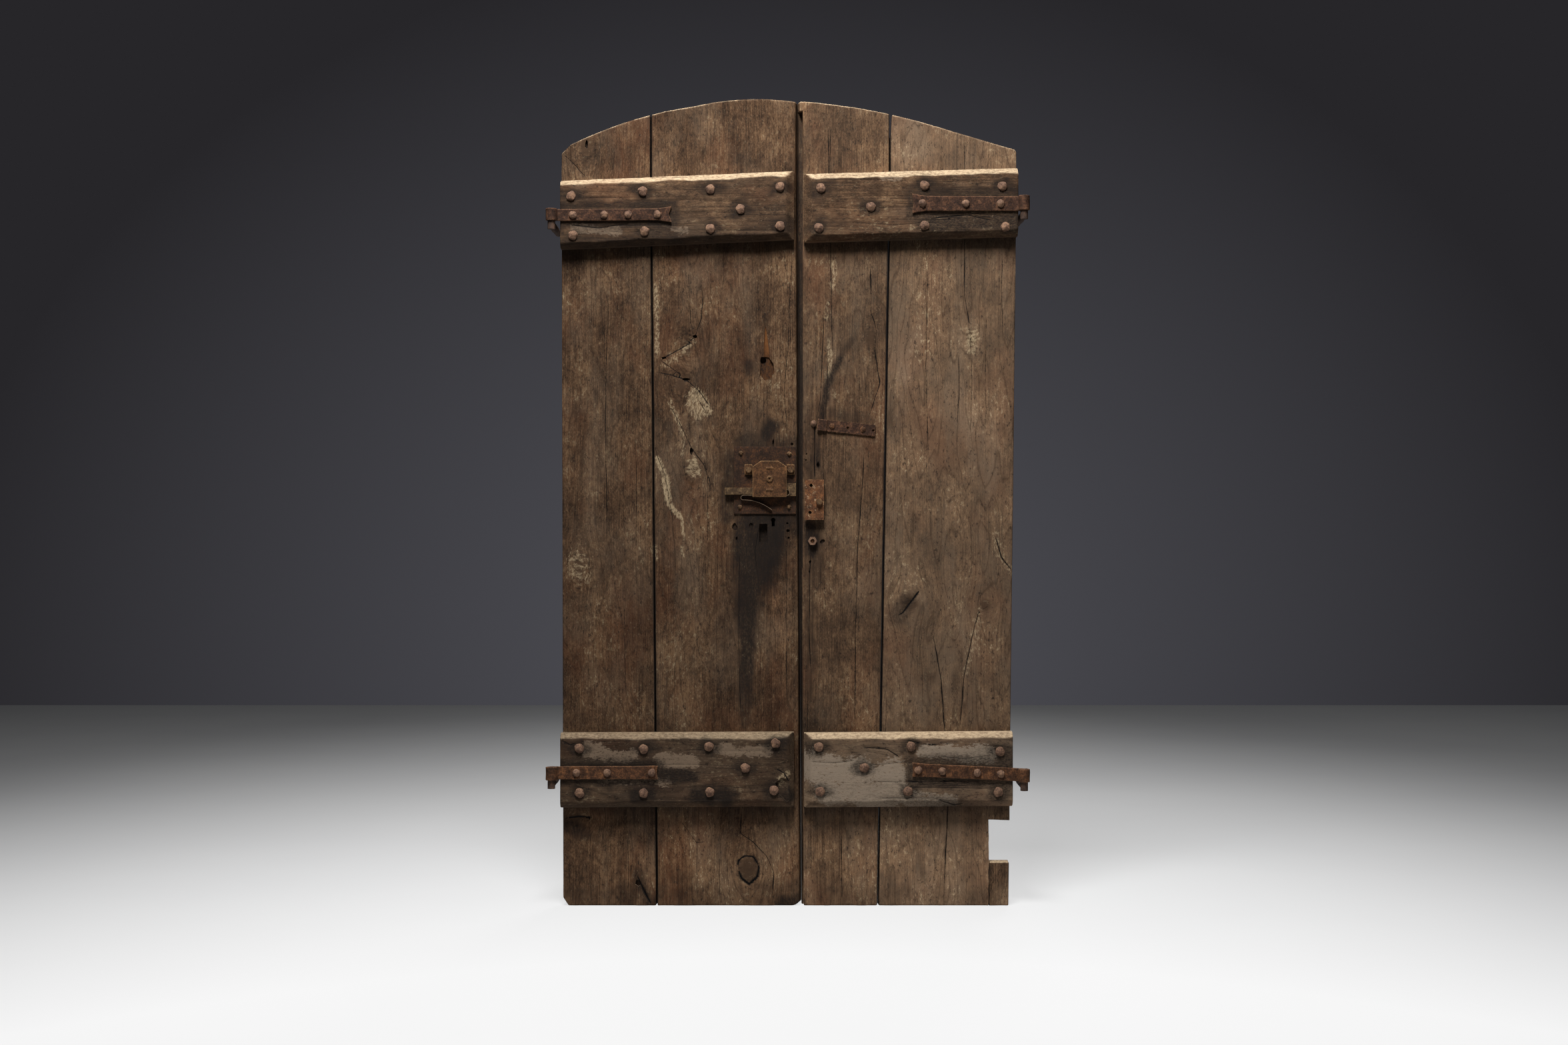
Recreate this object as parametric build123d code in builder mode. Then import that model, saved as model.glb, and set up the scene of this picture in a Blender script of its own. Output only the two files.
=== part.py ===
"""Arched pair of plank doors: ledged leaves on strap hinges and pintles, with a rim lock."""

import os
from math import radians, tan

from build123d import *

os.makedirs("parts", exist_ok=True)

# Both leaves, with the line where they meet
door_height = 1937.0
door_width = 1092.0
arch_rise = 131.0
leaf_thickness = 36.0
meeting_top = 17.3
meeting_bottom = 27.5
meeting_bevel_deg = 8.0
meeting_gap = 0.8
plank_gap = 1.6
overrun = 60.0

# Left leaf: outer edge, plank joint, worn lower corners, and its arch from the outer edge inwards
left_reach = 543.0
left_edge_lean = 4.0
left_outer_width_top = 213.0
left_outer_width_bottom = 225.0
left_toe_wear_width = 13.0
left_toe_wear_height = 20.0
left_heel_wear = 24.0
left_arch_shares = ((0.0, 0.0), (0.039, 0.16), (0.262, 0.557), (0.568, 0.866), (0.835, 1.0), (1.023, 0.933))

# Right leaf: outer edge, plank joint, rebate at the meeting edge, lost corner and its patch
right_middle_lean = 6.5
right_middle_height = 1150.0
right_edge_lean = 19.0
right_outer_width_top = 301.0
right_outer_width_bottom = 314.0
rebate_shoulder = 36.0
rebate_top_margin = 24.0
tongue_thickness = 14.0
notch_width = 48.0
notch_bottom = 104.5
notch_top = 206.0
right_arch_shares = ((0.0, 0.0), (0.006, 0.069), (0.446, 0.58), (0.717, 0.817), (1.0, 0.954), (1.041, 0.966))

# Battens: the lower edge rises from the left end to the right end
batten_thickness = 34.0
batten_chamfer = 14.0
batten_end_chamfer = 18.0
upper_batten_width = 163.0
lower_batten_width = 178.0
left_batten_setback = 2.3
right_batten_setback = 3.0
right_upper_batten_overhang = 1.0
right_lower_batten_overhang = 7.0
left_upper_batten_drop = 232.5
left_upper_batten_rise = 24.0
right_upper_batten_drop = 215.5
right_upper_batten_rise = 14.0
lower_batten_bottom = 238.5
left_lower_batten_rise = 2.0
right_lower_batten_rise = 3.5

# Places of the batten nails, along and across each batten
left_upper_nail_shares = (
    (0.047, 0.761), (0.353, 0.786), (0.642, 0.773), (0.94, 0.765), (0.771, 0.464),
    (0.94, 0.191), (0.642, 0.196), (0.361, 0.199), (0.055, 0.186),
)
right_upper_nail_shares = (
    (0.078, 0.775), (0.069, 0.193), (0.312, 0.48), (0.562, 0.77),
    (0.562, 0.183), (0.925, 0.727), (0.939, 0.133),
)
left_lower_nail_shares = (
    (0.082, 0.802), (0.357, 0.788), (0.636, 0.82), (0.921, 0.86), (0.792, 0.531),
    (0.914, 0.229), (0.64, 0.208), (0.357, 0.199), (0.083, 0.202),
)
right_lower_nail_shares = (
    (0.07, 0.82), (0.512, 0.818), (0.938, 0.741), (0.288, 0.537),
    (0.077, 0.222), (0.497, 0.217), (0.93, 0.199),
)

# Forged nails, driven through and clenched on the far side
nail_shank = 7.0
nail_head_radius = 11.5
nail_head_height = 7.0
nail_head_sides = 8
nail_crown_share = 0.45
strap_nail_head_radius = 9.5
clench_length = 24.0
clench_thickness = 3.5

# Strap hinges and the pintles that they turn on
left_hinge_overhang = 19.0
right_hinge_overhang = 13.0
pin_radius = 9.0
pin_clearance = 0.05
pin_reveal = 1.5
pin_foot = 2.0
strap_thickness = 5.0
strap_seam = 2.0
strap_flare_length = 34.0
eye_rest_clearance = 0.3
left_upper_strap_lift = 79.0
left_upper_strap_width = 29.0
left_upper_strap_length = 286.0
left_upper_strap_tip_width = 39.0
left_upper_strap_tip_notch = 7.0
left_upper_strap_rise = 2.0
left_lower_strap_lift = 85.0
left_lower_strap_width = 32.0
left_lower_strap_length = 253.0
left_lower_strap_tip_width = 34.0
left_lower_strap_tip_notch = 3.0
left_lower_strap_rise = 0.5
right_upper_strap_lift = 75.5
right_upper_strap_width = 36.0
right_upper_strap_length = 266.5
right_upper_strap_tip_width = 48.0
right_upper_strap_tip_notch = 4.0
right_upper_strap_rise = 0.5
right_lower_strap_lift = 76.5
right_lower_strap_width = 32.0
right_lower_strap_length = 266.5
right_lower_strap_tip_width = 35.0
right_lower_strap_tip_notch = 3.0
right_lower_strap_rise = 12.5
left_upper_strap_nail_shares = (0.175, 0.435, 0.636, 0.878)
left_lower_strap_nail_shares = (0.232, 0.521, 0.94)
right_upper_strap_nail_shares = (0.207, 0.518, 0.905)
right_lower_strap_nail_shares = (0.205, 0.414, 0.728, 0.943)
spike_radius = 8.0
spike_length = 70.0
spike_point = 5.0
spike_setback = 6.0

# Rim lock: back plate with its screws
lock_setback = 7.5
lock_width = 150.0
lock_bottom = 939.5
lock_height = 163.0
lock_plate_thickness = 2.5
lock_screw_shares = ((0.117, 0.903), (0.89, 0.89), (0.1, 0.109), (0.886, 0.109))
lock_screw_head_radius = 6.0
lock_screw_head_height = 4.0
lock_screw_shank = 4.5
lock_screw_length = 24.0

# Rim lock: cover with clipped upper corners, ears, centre boss and two ridges
cover_inset = 45.4
cover_width = 82.2
cover_lift = 41.1
cover_height = 87.1
cover_depth = 16.0
cover_wall = 2.5
cover_clip_width = 20.0
cover_clip_height = 13.5
ear_width = 19.0
ear_height = 25.0
ear_thickness = 4.0
ear_lift = 66.4
boss_radius = 7.5
boss_hole_radius = 2.5
boss_height = 3.0
ridge_length = 16.0
ridge_width = 3.5
ridge_spacing = 52.0
ridge_height = 1.5
cover_bolt_radius = 3.5
cover_nut_radius = 8.0
cover_nut_height = 6.0
cover_bolt_length = 24.0

# Rim lock: sliding bolt and the remains of its leaf spring
bolt_tail_overhang = 21.0
bolt_step_inset = 29.6
bolt_thickness = 8.0
bolt_clearance = 0.4
bolt_tail_height = 17.0
bolt_tail_lift = 5.9
bolt_head_height = 31.0
bolt_head_lift = 2.6
spring_thickness = 1.2
spring_width = 8.0
spring_clearance = 0.9
spring_leg_inset = 24.6
spring_curl_overhang = 22.4
spring_curl_radius = 5.3
spring_tip_inset = 35.6
spring_tip_drop = 24.4
spring_hook_radius = 7.2
spring_hook_width = 5.5
spring_hook_lift = 4.0

# Older lock's keyhole and mortise below the rim lock
keyhole_inset = 32.6
keyhole_drop = 13.5
keyhole_radius = 5.5
keyhole_slot_width = 7.5
keyhole_slot_length = 15.0
mortise_inset = 16.0
mortise_width = 19.8
mortise_drop = 66.5
mortise_height = 44.0
mortise_depth = 14.0

# Keeper on the right leaf, a bent staple held by one bolt, with two empty holes
keeper_setback = 4.0
keeper_width = 47.0
keeper_drop = 57.2
keeper_height = 97.5
keeper_depth = 15.0
keeper_sheet = 3.0
keeper_hole_radius = 3.5
keeper_hole_shares = ((0.34, 0.85), (0.28, 0.185))
keeper_bolt_share = (0.753, 0.451)
keeper_bolt_radius = 4.0
keeper_bolt_head_radius = 8.0
keeper_bolt_head_height = 7.0
keeper_bolt_grip = 26.0

# Hexagon nut on a bolt through the right leaf
nut_inset = 19.4
nut_drop = 50.2
nut_radius = 11.0
nut_thickness = 9.0
stud_radius = 5.0
stud_clearance = 0.05
stud_recess = 3.0
stud_head_radius = 13.0
stud_head_thickness = 4.0

# Hasp strap above the keeper, folded over at its left end
hasp_inset = 31.0
hasp_lift = 131.5
hasp_length = 140.0
hasp_width = 28.0
hasp_thickness = 3.0
hasp_fold_length = 23.0
hasp_tilt_deg = -6.0
hasp_nail_shares = (0.25, 0.78)
hasp_hole_share = 0.525
hasp_end_hole_share = 0.965
hasp_hole_radius = 2.8
hasp_nail_head_radius = 7.0
hasp_nail_head_height = 3.5
hasp_nail_shank = 4.5
hasp_nail_length = 24.0
knob_gap = 9.0
knob_lift = 2.6
knob_radius = 7.5
knob_height = 6.0

# Derived depths, negative towards the room
front_y = -leaf_thickness / 2
rear_y = leaf_thickness / 2
batten_front_y = front_y - batten_thickness
strap_front_y = batten_front_y - strap_thickness
bore_radius = pin_radius + pin_clearance
eye_radius = bore_radius + strap_thickness
eye_y = batten_front_y - eye_radius
lock_front_y = front_y - lock_plate_thickness

# Derived outlines of the planks
springing_height = door_height - arch_rise
left_edge_top = -left_reach
left_edge_bottom = left_edge_top + left_edge_lean
left_joint_top = left_edge_top + left_outer_width_top
left_joint_bottom = left_edge_bottom + left_outer_width_bottom
right_edge_top = door_width - left_reach
right_edge_middle = right_edge_top - right_middle_lean
right_edge_bottom = right_edge_top - right_edge_lean
right_joint_top = right_edge_top - right_outer_width_top
right_joint_bottom = right_edge_bottom - right_outer_width_bottom
notch_edge = right_edge_bottom - notch_width

# Derived places of the battens and straps
left_hinge_x = left_edge_top - left_hinge_overhang
right_hinge_x = right_edge_top + right_hinge_overhang
left_batten_start = left_edge_top
left_batten_end = meeting_top - left_batten_setback
right_batten_start = rebate_shoulder + right_batten_setback
right_upper_batten_end = right_edge_top + right_upper_batten_overhang
right_lower_batten_end = right_edge_bottom + right_lower_batten_overhang
left_upper_batten_bottom = springing_height - left_upper_batten_drop
right_upper_batten_bottom = springing_height - right_upper_batten_drop
left_upper_strap_height = left_upper_batten_bottom + left_upper_strap_lift
left_lower_strap_height = lower_batten_bottom + left_lower_strap_lift
right_upper_strap_height = right_upper_batten_bottom + right_upper_batten_rise + right_upper_strap_lift
right_lower_strap_height = lower_batten_bottom + right_lower_batten_rise + right_lower_strap_lift
left_upper_strap_tip = left_hinge_x + left_upper_strap_length
left_lower_strap_tip = left_hinge_x + left_lower_strap_length
right_upper_strap_tip = right_hinge_x - right_upper_strap_length
right_lower_strap_tip = right_hinge_x - right_lower_strap_length

# Derived places of the lock, keeper and hasp strap
lock_right = meeting_bottom - lock_setback
lock_left = lock_right - lock_width
lock_top = lock_bottom + lock_height
cover_left = lock_left + cover_inset
cover_right = cover_left + cover_width
cover_bottom = lock_bottom + cover_lift
cover_top = cover_bottom + cover_height
ear_place_height = cover_bottom + ear_lift
bolt_tail_end = lock_left - bolt_tail_overhang
bolt_step = cover_right - bolt_step_inset
bolt_tail_bottom = cover_bottom + bolt_tail_lift
bolt_head_bottom = cover_bottom + bolt_head_lift
spring_leg_end = cover_left + spring_leg_inset
spring_leg_height = bolt_tail_bottom - spring_clearance - spring_thickness / 2
spring_curl_x = cover_left - spring_curl_overhang
spring_tip_x = cover_right - spring_tip_inset
spring_hook_height = cover_bottom + spring_hook_lift
keyhole_x = cover_right - keyhole_inset
keyhole_height = lock_bottom - keyhole_drop
mortise_left = cover_left + mortise_inset
mortise_bottom = lock_bottom - mortise_drop
keeper_left = rebate_shoulder + keeper_setback
keeper_bottom = bolt_head_bottom - keeper_drop
nut_x = keeper_left + nut_inset
nut_height = keeper_bottom - nut_drop
hasp_left = keeper_left + hasp_inset
hasp_height = keeper_bottom + keeper_height + hasp_lift
knob_x = hasp_left - knob_gap
knob_place_height = hasp_height + knob_lift

# Slopes
bevel = tan(radians(meeting_bevel_deg))
meeting_slope = (meeting_top - meeting_bottom) / door_height


def facing(y):
    """Upright plane at depth y, drawn as seen from the room and extruding towards the room."""
    return Plane.XZ.offset(-y)


def write(piece, name):
    """Label a finished piece and write it to its own file."""
    piece.part.label = name
    export_step(piece.part, f"parts/{name}.step")


def left_outline():
    """Front view of the whole left leaf, with spare width at the meeting edge."""
    width = meeting_top - left_edge_top
    arch = [(left_edge_top + x * width, springing_height + z * arch_rise) for x, z in left_arch_shares]
    heel = (arch[-1][0] + leaf_thickness, 0)
    toe = (left_edge_bottom + left_toe_wear_width, 0)
    with BuildSketch() as outline:
        with BuildLine():
            Polyline(heel, toe, (left_edge_bottom, left_toe_wear_height), arch[0], arch[1])
            ThreePointArc(arch[1], arch[2], arch[3])
            ThreePointArc(arch[3], arch[4], arch[5])
            Polyline(arch[5], (heel[0], arch[5][1]), heel)
        make_face()
    return outline.sketch


def right_outline():
    """Front view of the whole right leaf, with spare width at the meeting edge."""
    width = rebate_shoulder - right_edge_top
    arch = [(right_edge_top + x * width, springing_height + z * arch_rise) for x, z in right_arch_shares]
    heel = (arch[-1][0] - leaf_thickness, 0)
    with BuildSketch() as outline:
        with BuildLine():
            Polyline(
                (heel[0], arch[5][1]), heel, (right_edge_bottom, 0),
                (right_edge_middle, right_middle_height), arch[0], arch[1], arch[2],
            )
            ThreePointArc(arch[2], arch[3], arch[4])
            Polyline(arch[4], arch[5], (heel[0], arch[5][1]))
        make_face()
    return outline.sketch


def beside_joint(top_x, bottom_x, far_x):
    """Everything between a plank joint and an upright line well outside the leaf."""
    with BuildSketch() as region:
        with BuildLine():
            Polyline((bottom_x, 0), (far_x, 0), (far_x, door_height), (top_x, door_height), close=True)
        make_face()
    return region.sketch


def batten_places(start, end, bottom, rise, width, shares):
    """Nail places on a batten from their shares along and across it."""
    return [(start + a * (end - start), bottom + a * rise + b * width) for a, b in shares]


def strap_places(axis, tip, height, rise, shares):
    """Nail places along the middle of a strap, from its eye to its tip."""
    return [(axis + a * (tip - axis), height + a * rise) for a in shares]


left_upper_batten_nails = batten_places(
    left_batten_start, left_batten_end, left_upper_batten_bottom, left_upper_batten_rise,
    upper_batten_width, left_upper_nail_shares,
)
left_lower_batten_nails = batten_places(
    left_batten_start, left_batten_end, lower_batten_bottom, left_lower_batten_rise,
    lower_batten_width, left_lower_nail_shares,
)
right_upper_batten_nails = batten_places(
    right_batten_start, right_upper_batten_end, right_upper_batten_bottom, right_upper_batten_rise,
    upper_batten_width, right_upper_nail_shares,
)
right_lower_batten_nails = batten_places(
    right_batten_start, right_lower_batten_end, lower_batten_bottom, right_lower_batten_rise,
    lower_batten_width, right_lower_nail_shares,
)
left_upper_strap_nails = strap_places(
    left_hinge_x, left_upper_strap_tip, left_upper_strap_height, left_upper_strap_rise,
    left_upper_strap_nail_shares,
)
left_lower_strap_nails = strap_places(
    left_hinge_x, left_lower_strap_tip, left_lower_strap_height, left_lower_strap_rise,
    left_lower_strap_nail_shares,
)
right_upper_strap_nails = strap_places(
    right_hinge_x, right_upper_strap_tip, right_upper_strap_height, right_upper_strap_rise,
    right_upper_strap_nail_shares,
)
right_lower_strap_nails = strap_places(
    right_hinge_x, right_lower_strap_tip, right_lower_strap_height, right_lower_strap_rise,
    right_lower_strap_nail_shares,
)
left_nails = (
    left_upper_batten_nails + left_lower_batten_nails + left_upper_strap_nails + left_lower_strap_nails
)
right_nails = (
    right_upper_batten_nails + right_lower_batten_nails + right_upper_strap_nails + right_lower_strap_nails
)
lock_screws = [
    (lock_left + a * (lock_right - lock_left), lock_bottom + b * (lock_top - lock_bottom))
    for a, b in lock_screw_shares
]
cover_bolts = [
    (cover_left - ear_width / 2, ear_place_height),
    (cover_right + ear_width / 2, ear_place_height),
]
keeper_holes = [
    (keeper_left + a * keeper_width, keeper_bottom + b * keeper_height) for a, b in keeper_hole_shares
]
keeper_bolt_place = (
    keeper_left + keeper_bolt_share[0] * keeper_width, keeper_bottom + keeper_bolt_share[1] * keeper_height
)
hasp_slope = tan(radians(hasp_tilt_deg))
hasp_nails = [
    (hasp_left + a * hasp_length, hasp_height + a * hasp_length * hasp_slope) for a in hasp_nail_shares
]

# Bevel planes of the two meeting edges, closest together at the rear faces
left_meeting = Plane((meeting_bottom, front_y, 0), z_dir=(1, -bevel, -meeting_slope))
right_meeting = Plane(
    (meeting_bottom + bevel * leaf_thickness + meeting_gap, rear_y, 0), z_dir=(1, bevel, -meeting_slope)
)

# Left outer plank
with BuildPart() as left_outer_plank:
    with BuildSketch(facing(rear_y)):
        add(left_outline())
        add(
            beside_joint(
                left_joint_top - plank_gap / 2, left_joint_bottom - plank_gap / 2, left_edge_top - overrun
            ),
            mode=Mode.INTERSECT,
        )
    extrude(amount=leaf_thickness)
    with BuildSketch(facing(rear_y)):
        with Locations(*left_nails):
            Rectangle(nail_shank, nail_shank)
    extrude(amount=leaf_thickness, mode=Mode.SUBTRACT)
write(left_outer_plank, "left_outer_plank")

# Left inner plank, with the lock's screw and bolt holes, the old keyhole and the old mortise
heel_x = meeting_bottom + bevel * leaf_thickness
heel_bulge_share = 0.29
with BuildPart() as left_inner_plank:
    with BuildSketch(facing(rear_y)):
        add(left_outline())
        add(
            beside_joint(left_joint_top + plank_gap / 2, left_joint_bottom + plank_gap / 2, heel_x + overrun),
            mode=Mode.INTERSECT,
        )
    extrude(amount=leaf_thickness)
    split(bisect_by=left_meeting, keep=Keep.BOTTOM)
    with BuildSketch(facing(rear_y)):
        with BuildLine():
            ThreePointArc(
                (heel_x - left_heel_wear, 0),
                (heel_x - heel_bulge_share * left_heel_wear, heel_bulge_share * left_heel_wear),
                (heel_x, left_heel_wear),
            )
            Polyline(
                (heel_x, left_heel_wear), (heel_x + overrun, left_heel_wear), (heel_x + overrun, -overrun),
                (heel_x - left_heel_wear, -overrun), (heel_x - left_heel_wear, 0),
            )
        make_face()
    extrude(amount=leaf_thickness, mode=Mode.SUBTRACT)
    with BuildSketch(facing(rear_y)):
        with Locations(*left_nails):
            Rectangle(nail_shank, nail_shank)
        with Locations((keyhole_x, keyhole_height)):
            Circle(keyhole_radius)
            Rectangle(keyhole_slot_width, keyhole_slot_length, align=(Align.CENTER, Align.MAX))
    extrude(amount=leaf_thickness, mode=Mode.SUBTRACT)
    with BuildSketch(facing(front_y)):
        with Locations(*lock_screws):
            Rectangle(lock_screw_shank, lock_screw_shank)
    extrude(amount=-lock_screw_length, mode=Mode.SUBTRACT)
    with BuildSketch(facing(front_y)):
        with Locations(*cover_bolts):
            Circle(cover_bolt_radius)
    extrude(amount=-cover_bolt_length, mode=Mode.SUBTRACT)
    with BuildSketch(facing(front_y)):
        with Locations((mortise_left, mortise_bottom)):
            Rectangle(mortise_width, mortise_height, align=(Align.MIN, Align.MIN))
    extrude(amount=-mortise_depth, mode=Mode.SUBTRACT)
write(left_inner_plank, "left_inner_plank")

# Right inner plank, with its rebate and tongue at the meeting edge
with BuildPart() as right_inner_plank:
    with BuildSketch(facing(rear_y)):
        add(right_outline())
        add(
            beside_joint(right_joint_top - plank_gap / 2, right_joint_bottom - plank_gap / 2, -overrun),
            mode=Mode.INTERSECT,
        )
    extrude(amount=leaf_thickness)
    split(bisect_by=right_meeting, keep=Keep.TOP)
    with BuildSketch(facing(front_y)):
        with Locations((rebate_shoulder, door_height + right_arch_shares[4][1] * arch_rise - arch_rise)):
            with Locations((0, -rebate_top_margin)):
                Rectangle(overrun, door_height, align=(Align.MAX, Align.MAX))
    extrude(amount=tongue_thickness - leaf_thickness, mode=Mode.SUBTRACT)
    with BuildSketch(facing(rear_y)):
        with Locations(*right_nails):
            Rectangle(nail_shank, nail_shank)
        with Locations((nut_x, nut_height)):
            Circle(stud_radius + stud_clearance)
    extrude(amount=leaf_thickness, mode=Mode.SUBTRACT)
    with BuildSketch(facing(front_y)):
        with Locations(keeper_bolt_place):
            Circle(keeper_bolt_radius)
    extrude(amount=-keeper_bolt_grip, mode=Mode.SUBTRACT)
    with BuildSketch(facing(front_y)):
        with Locations(*hasp_nails, (knob_x, knob_place_height)):
            Rectangle(hasp_nail_shank, hasp_nail_shank)
    extrude(amount=-hasp_nail_length, mode=Mode.SUBTRACT)
write(right_inner_plank, "right_inner_plank")

# Right outer plank, with the lost piece at its outer edge
with BuildPart() as right_outer_plank:
    with BuildSketch(facing(rear_y)):
        add(right_outline())
        add(
            beside_joint(
                right_joint_top + plank_gap / 2, right_joint_bottom + plank_gap / 2, right_edge_top + overrun
            ),
            mode=Mode.INTERSECT,
        )
        with Locations((notch_edge, 0)):
            Rectangle(
                right_edge_top + overrun - notch_edge, notch_top,
                align=(Align.MIN, Align.MIN), mode=Mode.SUBTRACT,
            )
    extrude(amount=leaf_thickness)
    with BuildSketch(facing(rear_y)):
        with Locations(*right_nails):
            Rectangle(nail_shank, nail_shank)
    extrude(amount=leaf_thickness, mode=Mode.SUBTRACT)
write(right_outer_plank, "right_outer_plank")

# Block let into the lower outer corner of the right leaf
with BuildPart() as right_corner_patch:
    with BuildSketch(facing(rear_y)):
        add(right_outline())
        with Locations((notch_edge, 0)):
            Rectangle(
                right_edge_top + overrun - notch_edge, notch_bottom,
                align=(Align.MIN, Align.MIN), mode=Mode.INTERSECT,
            )
    extrude(amount=leaf_thickness)
write(right_corner_patch, "right_corner_patch")


def make_batten(start, end, bottom, rise, width, meets_right, places):
    """Tilted batten with sloped long edges and a sloped end at the meeting line."""
    slope = rise / (end - start)
    top = bottom + width
    end_x = end - batten_end_chamfer if meets_right else start + batten_end_chamfer
    end_side = 1 if meets_right else -1
    with BuildPart() as batten:
        with BuildSketch(facing(front_y)):
            with BuildLine():
                Polyline((start, bottom), (end, bottom + rise), (end, top + rise), (start, top), close=True)
            make_face()
        extrude(amount=batten_thickness)
        split(
            bisect_by=Plane((start, batten_front_y, top - batten_chamfer), z_dir=(-slope, -1, 1)),
            keep=Keep.BOTTOM,
        )
        split(
            bisect_by=Plane((start, batten_front_y, bottom + batten_chamfer), z_dir=(slope, -1, -1)),
            keep=Keep.BOTTOM,
        )
        split(bisect_by=Plane((end_x, batten_front_y, bottom), z_dir=(end_side, -1, 0)), keep=Keep.BOTTOM)
        with BuildSketch(facing(front_y)):
            with Locations(*places):
                Rectangle(nail_shank, nail_shank)
        extrude(amount=batten_thickness, mode=Mode.SUBTRACT)
    return batten


write(
    make_batten(
        left_batten_start, left_batten_end, left_upper_batten_bottom, left_upper_batten_rise,
        upper_batten_width, True, left_upper_batten_nails + left_upper_strap_nails,
    ),
    "left_upper_batten",
)
write(
    make_batten(
        left_batten_start, left_batten_end, lower_batten_bottom, left_lower_batten_rise,
        lower_batten_width, True, left_lower_batten_nails + left_lower_strap_nails,
    ),
    "left_lower_batten",
)
write(
    make_batten(
        right_batten_start, right_upper_batten_end, right_upper_batten_bottom, right_upper_batten_rise,
        upper_batten_width, False, right_upper_batten_nails + right_upper_strap_nails,
    ),
    "right_upper_batten",
)
write(
    make_batten(
        right_batten_start, right_lower_batten_end, lower_batten_bottom, right_lower_batten_rise,
        lower_batten_width, False, right_lower_batten_nails + right_lower_strap_nails,
    ),
    "right_lower_batten",
)


def make_nails(places, seat_y, end_y, shank, head_radius, head_height, clenched):
    """Group of nails with faceted heads, square shanks and, where driven through, clenched tips."""
    with BuildPart() as nails:
        with BuildSketch(facing(end_y)):
            with Locations(*places):
                Rectangle(shank, shank)
        extrude(amount=end_y - seat_y)
        for place in places:
            with BuildSketch(facing(seat_y)):
                with Locations(place):
                    RegularPolygon(head_radius, nail_head_sides)
            with BuildSketch(facing(seat_y - head_height)):
                with Locations(place):
                    RegularPolygon(nail_crown_share * head_radius, nail_head_sides)
            loft(ruled=True)
        if clenched:
            with BuildSketch(facing(end_y + clench_thickness)):
                with Locations(*[(x, z + shank / 2) for x, z in places]):
                    Rectangle(shank, clench_length, align=(Align.CENTER, Align.MAX))
            extrude(amount=clench_thickness)
    return nails


batten_nail_groups = {
    "left_upper_batten_nails": left_upper_batten_nails,
    "left_lower_batten_nails": left_lower_batten_nails,
    "right_upper_batten_nails": right_upper_batten_nails,
    "right_lower_batten_nails": right_lower_batten_nails,
}
strap_nail_groups = {
    "left_upper_strap_nails": left_upper_strap_nails,
    "left_lower_strap_nails": left_lower_strap_nails,
    "right_upper_strap_nails": right_upper_strap_nails,
    "right_lower_strap_nails": right_lower_strap_nails,
}
for group_name, group_places in batten_nail_groups.items():
    group = make_nails(
        group_places, batten_front_y, rear_y, nail_shank, nail_head_radius, nail_head_height, True
    )
    write(group, group_name)
for group_name, group_places in strap_nail_groups.items():
    group = make_nails(
        group_places, strap_front_y, rear_y, nail_shank, strap_nail_head_radius, nail_head_height, True
    )
    write(group, group_name)


def make_strap(axis, tip, height, rise, width, tip_width, tip_notch, places):
    """Strap hinge: flat bar with a flared tip, its root rolled towards the room into an eye."""
    inward = 1 if tip > axis else -1
    flare = tip - inward * strap_flare_length
    flare_height = height + rise * (flare - axis) / (tip - axis)
    tip_height = height + rise
    with BuildPart() as strap:
        with BuildSketch(facing(batten_front_y)):
            with BuildLine():
                Polyline(
                    (axis, height - width / 2), (flare, flare_height - width / 2),
                    (tip, tip_height - tip_width / 2), (tip - inward * tip_notch, tip_height),
                    (tip, tip_height + tip_width / 2), (flare, flare_height + width / 2),
                    (axis, height + width / 2), close=True,
                )
            make_face()
        extrude(amount=strap_thickness)
        with BuildSketch(Plane.XY.offset(height - width / 2)):
            with Locations((axis, eye_y)):
                Circle(eye_radius)
        extrude(amount=width)
        with BuildSketch(Plane.XY.offset(height - width / 2)):
            with Locations((axis, eye_y)):
                Circle(bore_radius)
            with Locations((axis + inward * eye_radius, strap_front_y - strap_seam / 2)):
                Rectangle(eye_radius, strap_seam)
        extrude(amount=width, mode=Mode.SUBTRACT)
        with BuildSketch(facing(batten_front_y)):
            with Locations(*places):
                Rectangle(nail_shank, nail_shank)
        extrude(amount=strap_thickness, mode=Mode.SUBTRACT)
    return strap


def make_pintle(axis, height, width):
    """Forged pintle: an upright pin in the strap's eye, bent back under it into a spike for the wall."""
    shank_height = height - width / 2 - eye_rest_clearance - pin_radius
    pin_bottom = -pin_radius - pin_foot
    pin_top = height + width / 2 - pin_reveal - shank_height
    shank_length = rear_y + spike_setback - eye_y
    # Made about the bend, where pin and shank cross, so that the joint stays sound wherever the hinge is
    with BuildPart() as bent_iron:
        with BuildSketch(Plane.XY.offset(pin_bottom)):
            Circle(pin_radius)
        extrude(amount=pin_top - pin_bottom)
        with BuildSketch(facing(shank_length)):
            Circle(pin_radius)
        extrude(amount=shank_length)
        with BuildSketch(facing(shank_length + spike_length)):
            Circle(spike_radius)
        extrude(amount=spike_length)
        chamfer(bent_iron.edges().group_by(Axis.Y)[-1], length=spike_point)
    with BuildPart() as pintle:
        with Locations((axis, eye_y, shank_height)):
            add(bent_iron.part)
    return pintle


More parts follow.
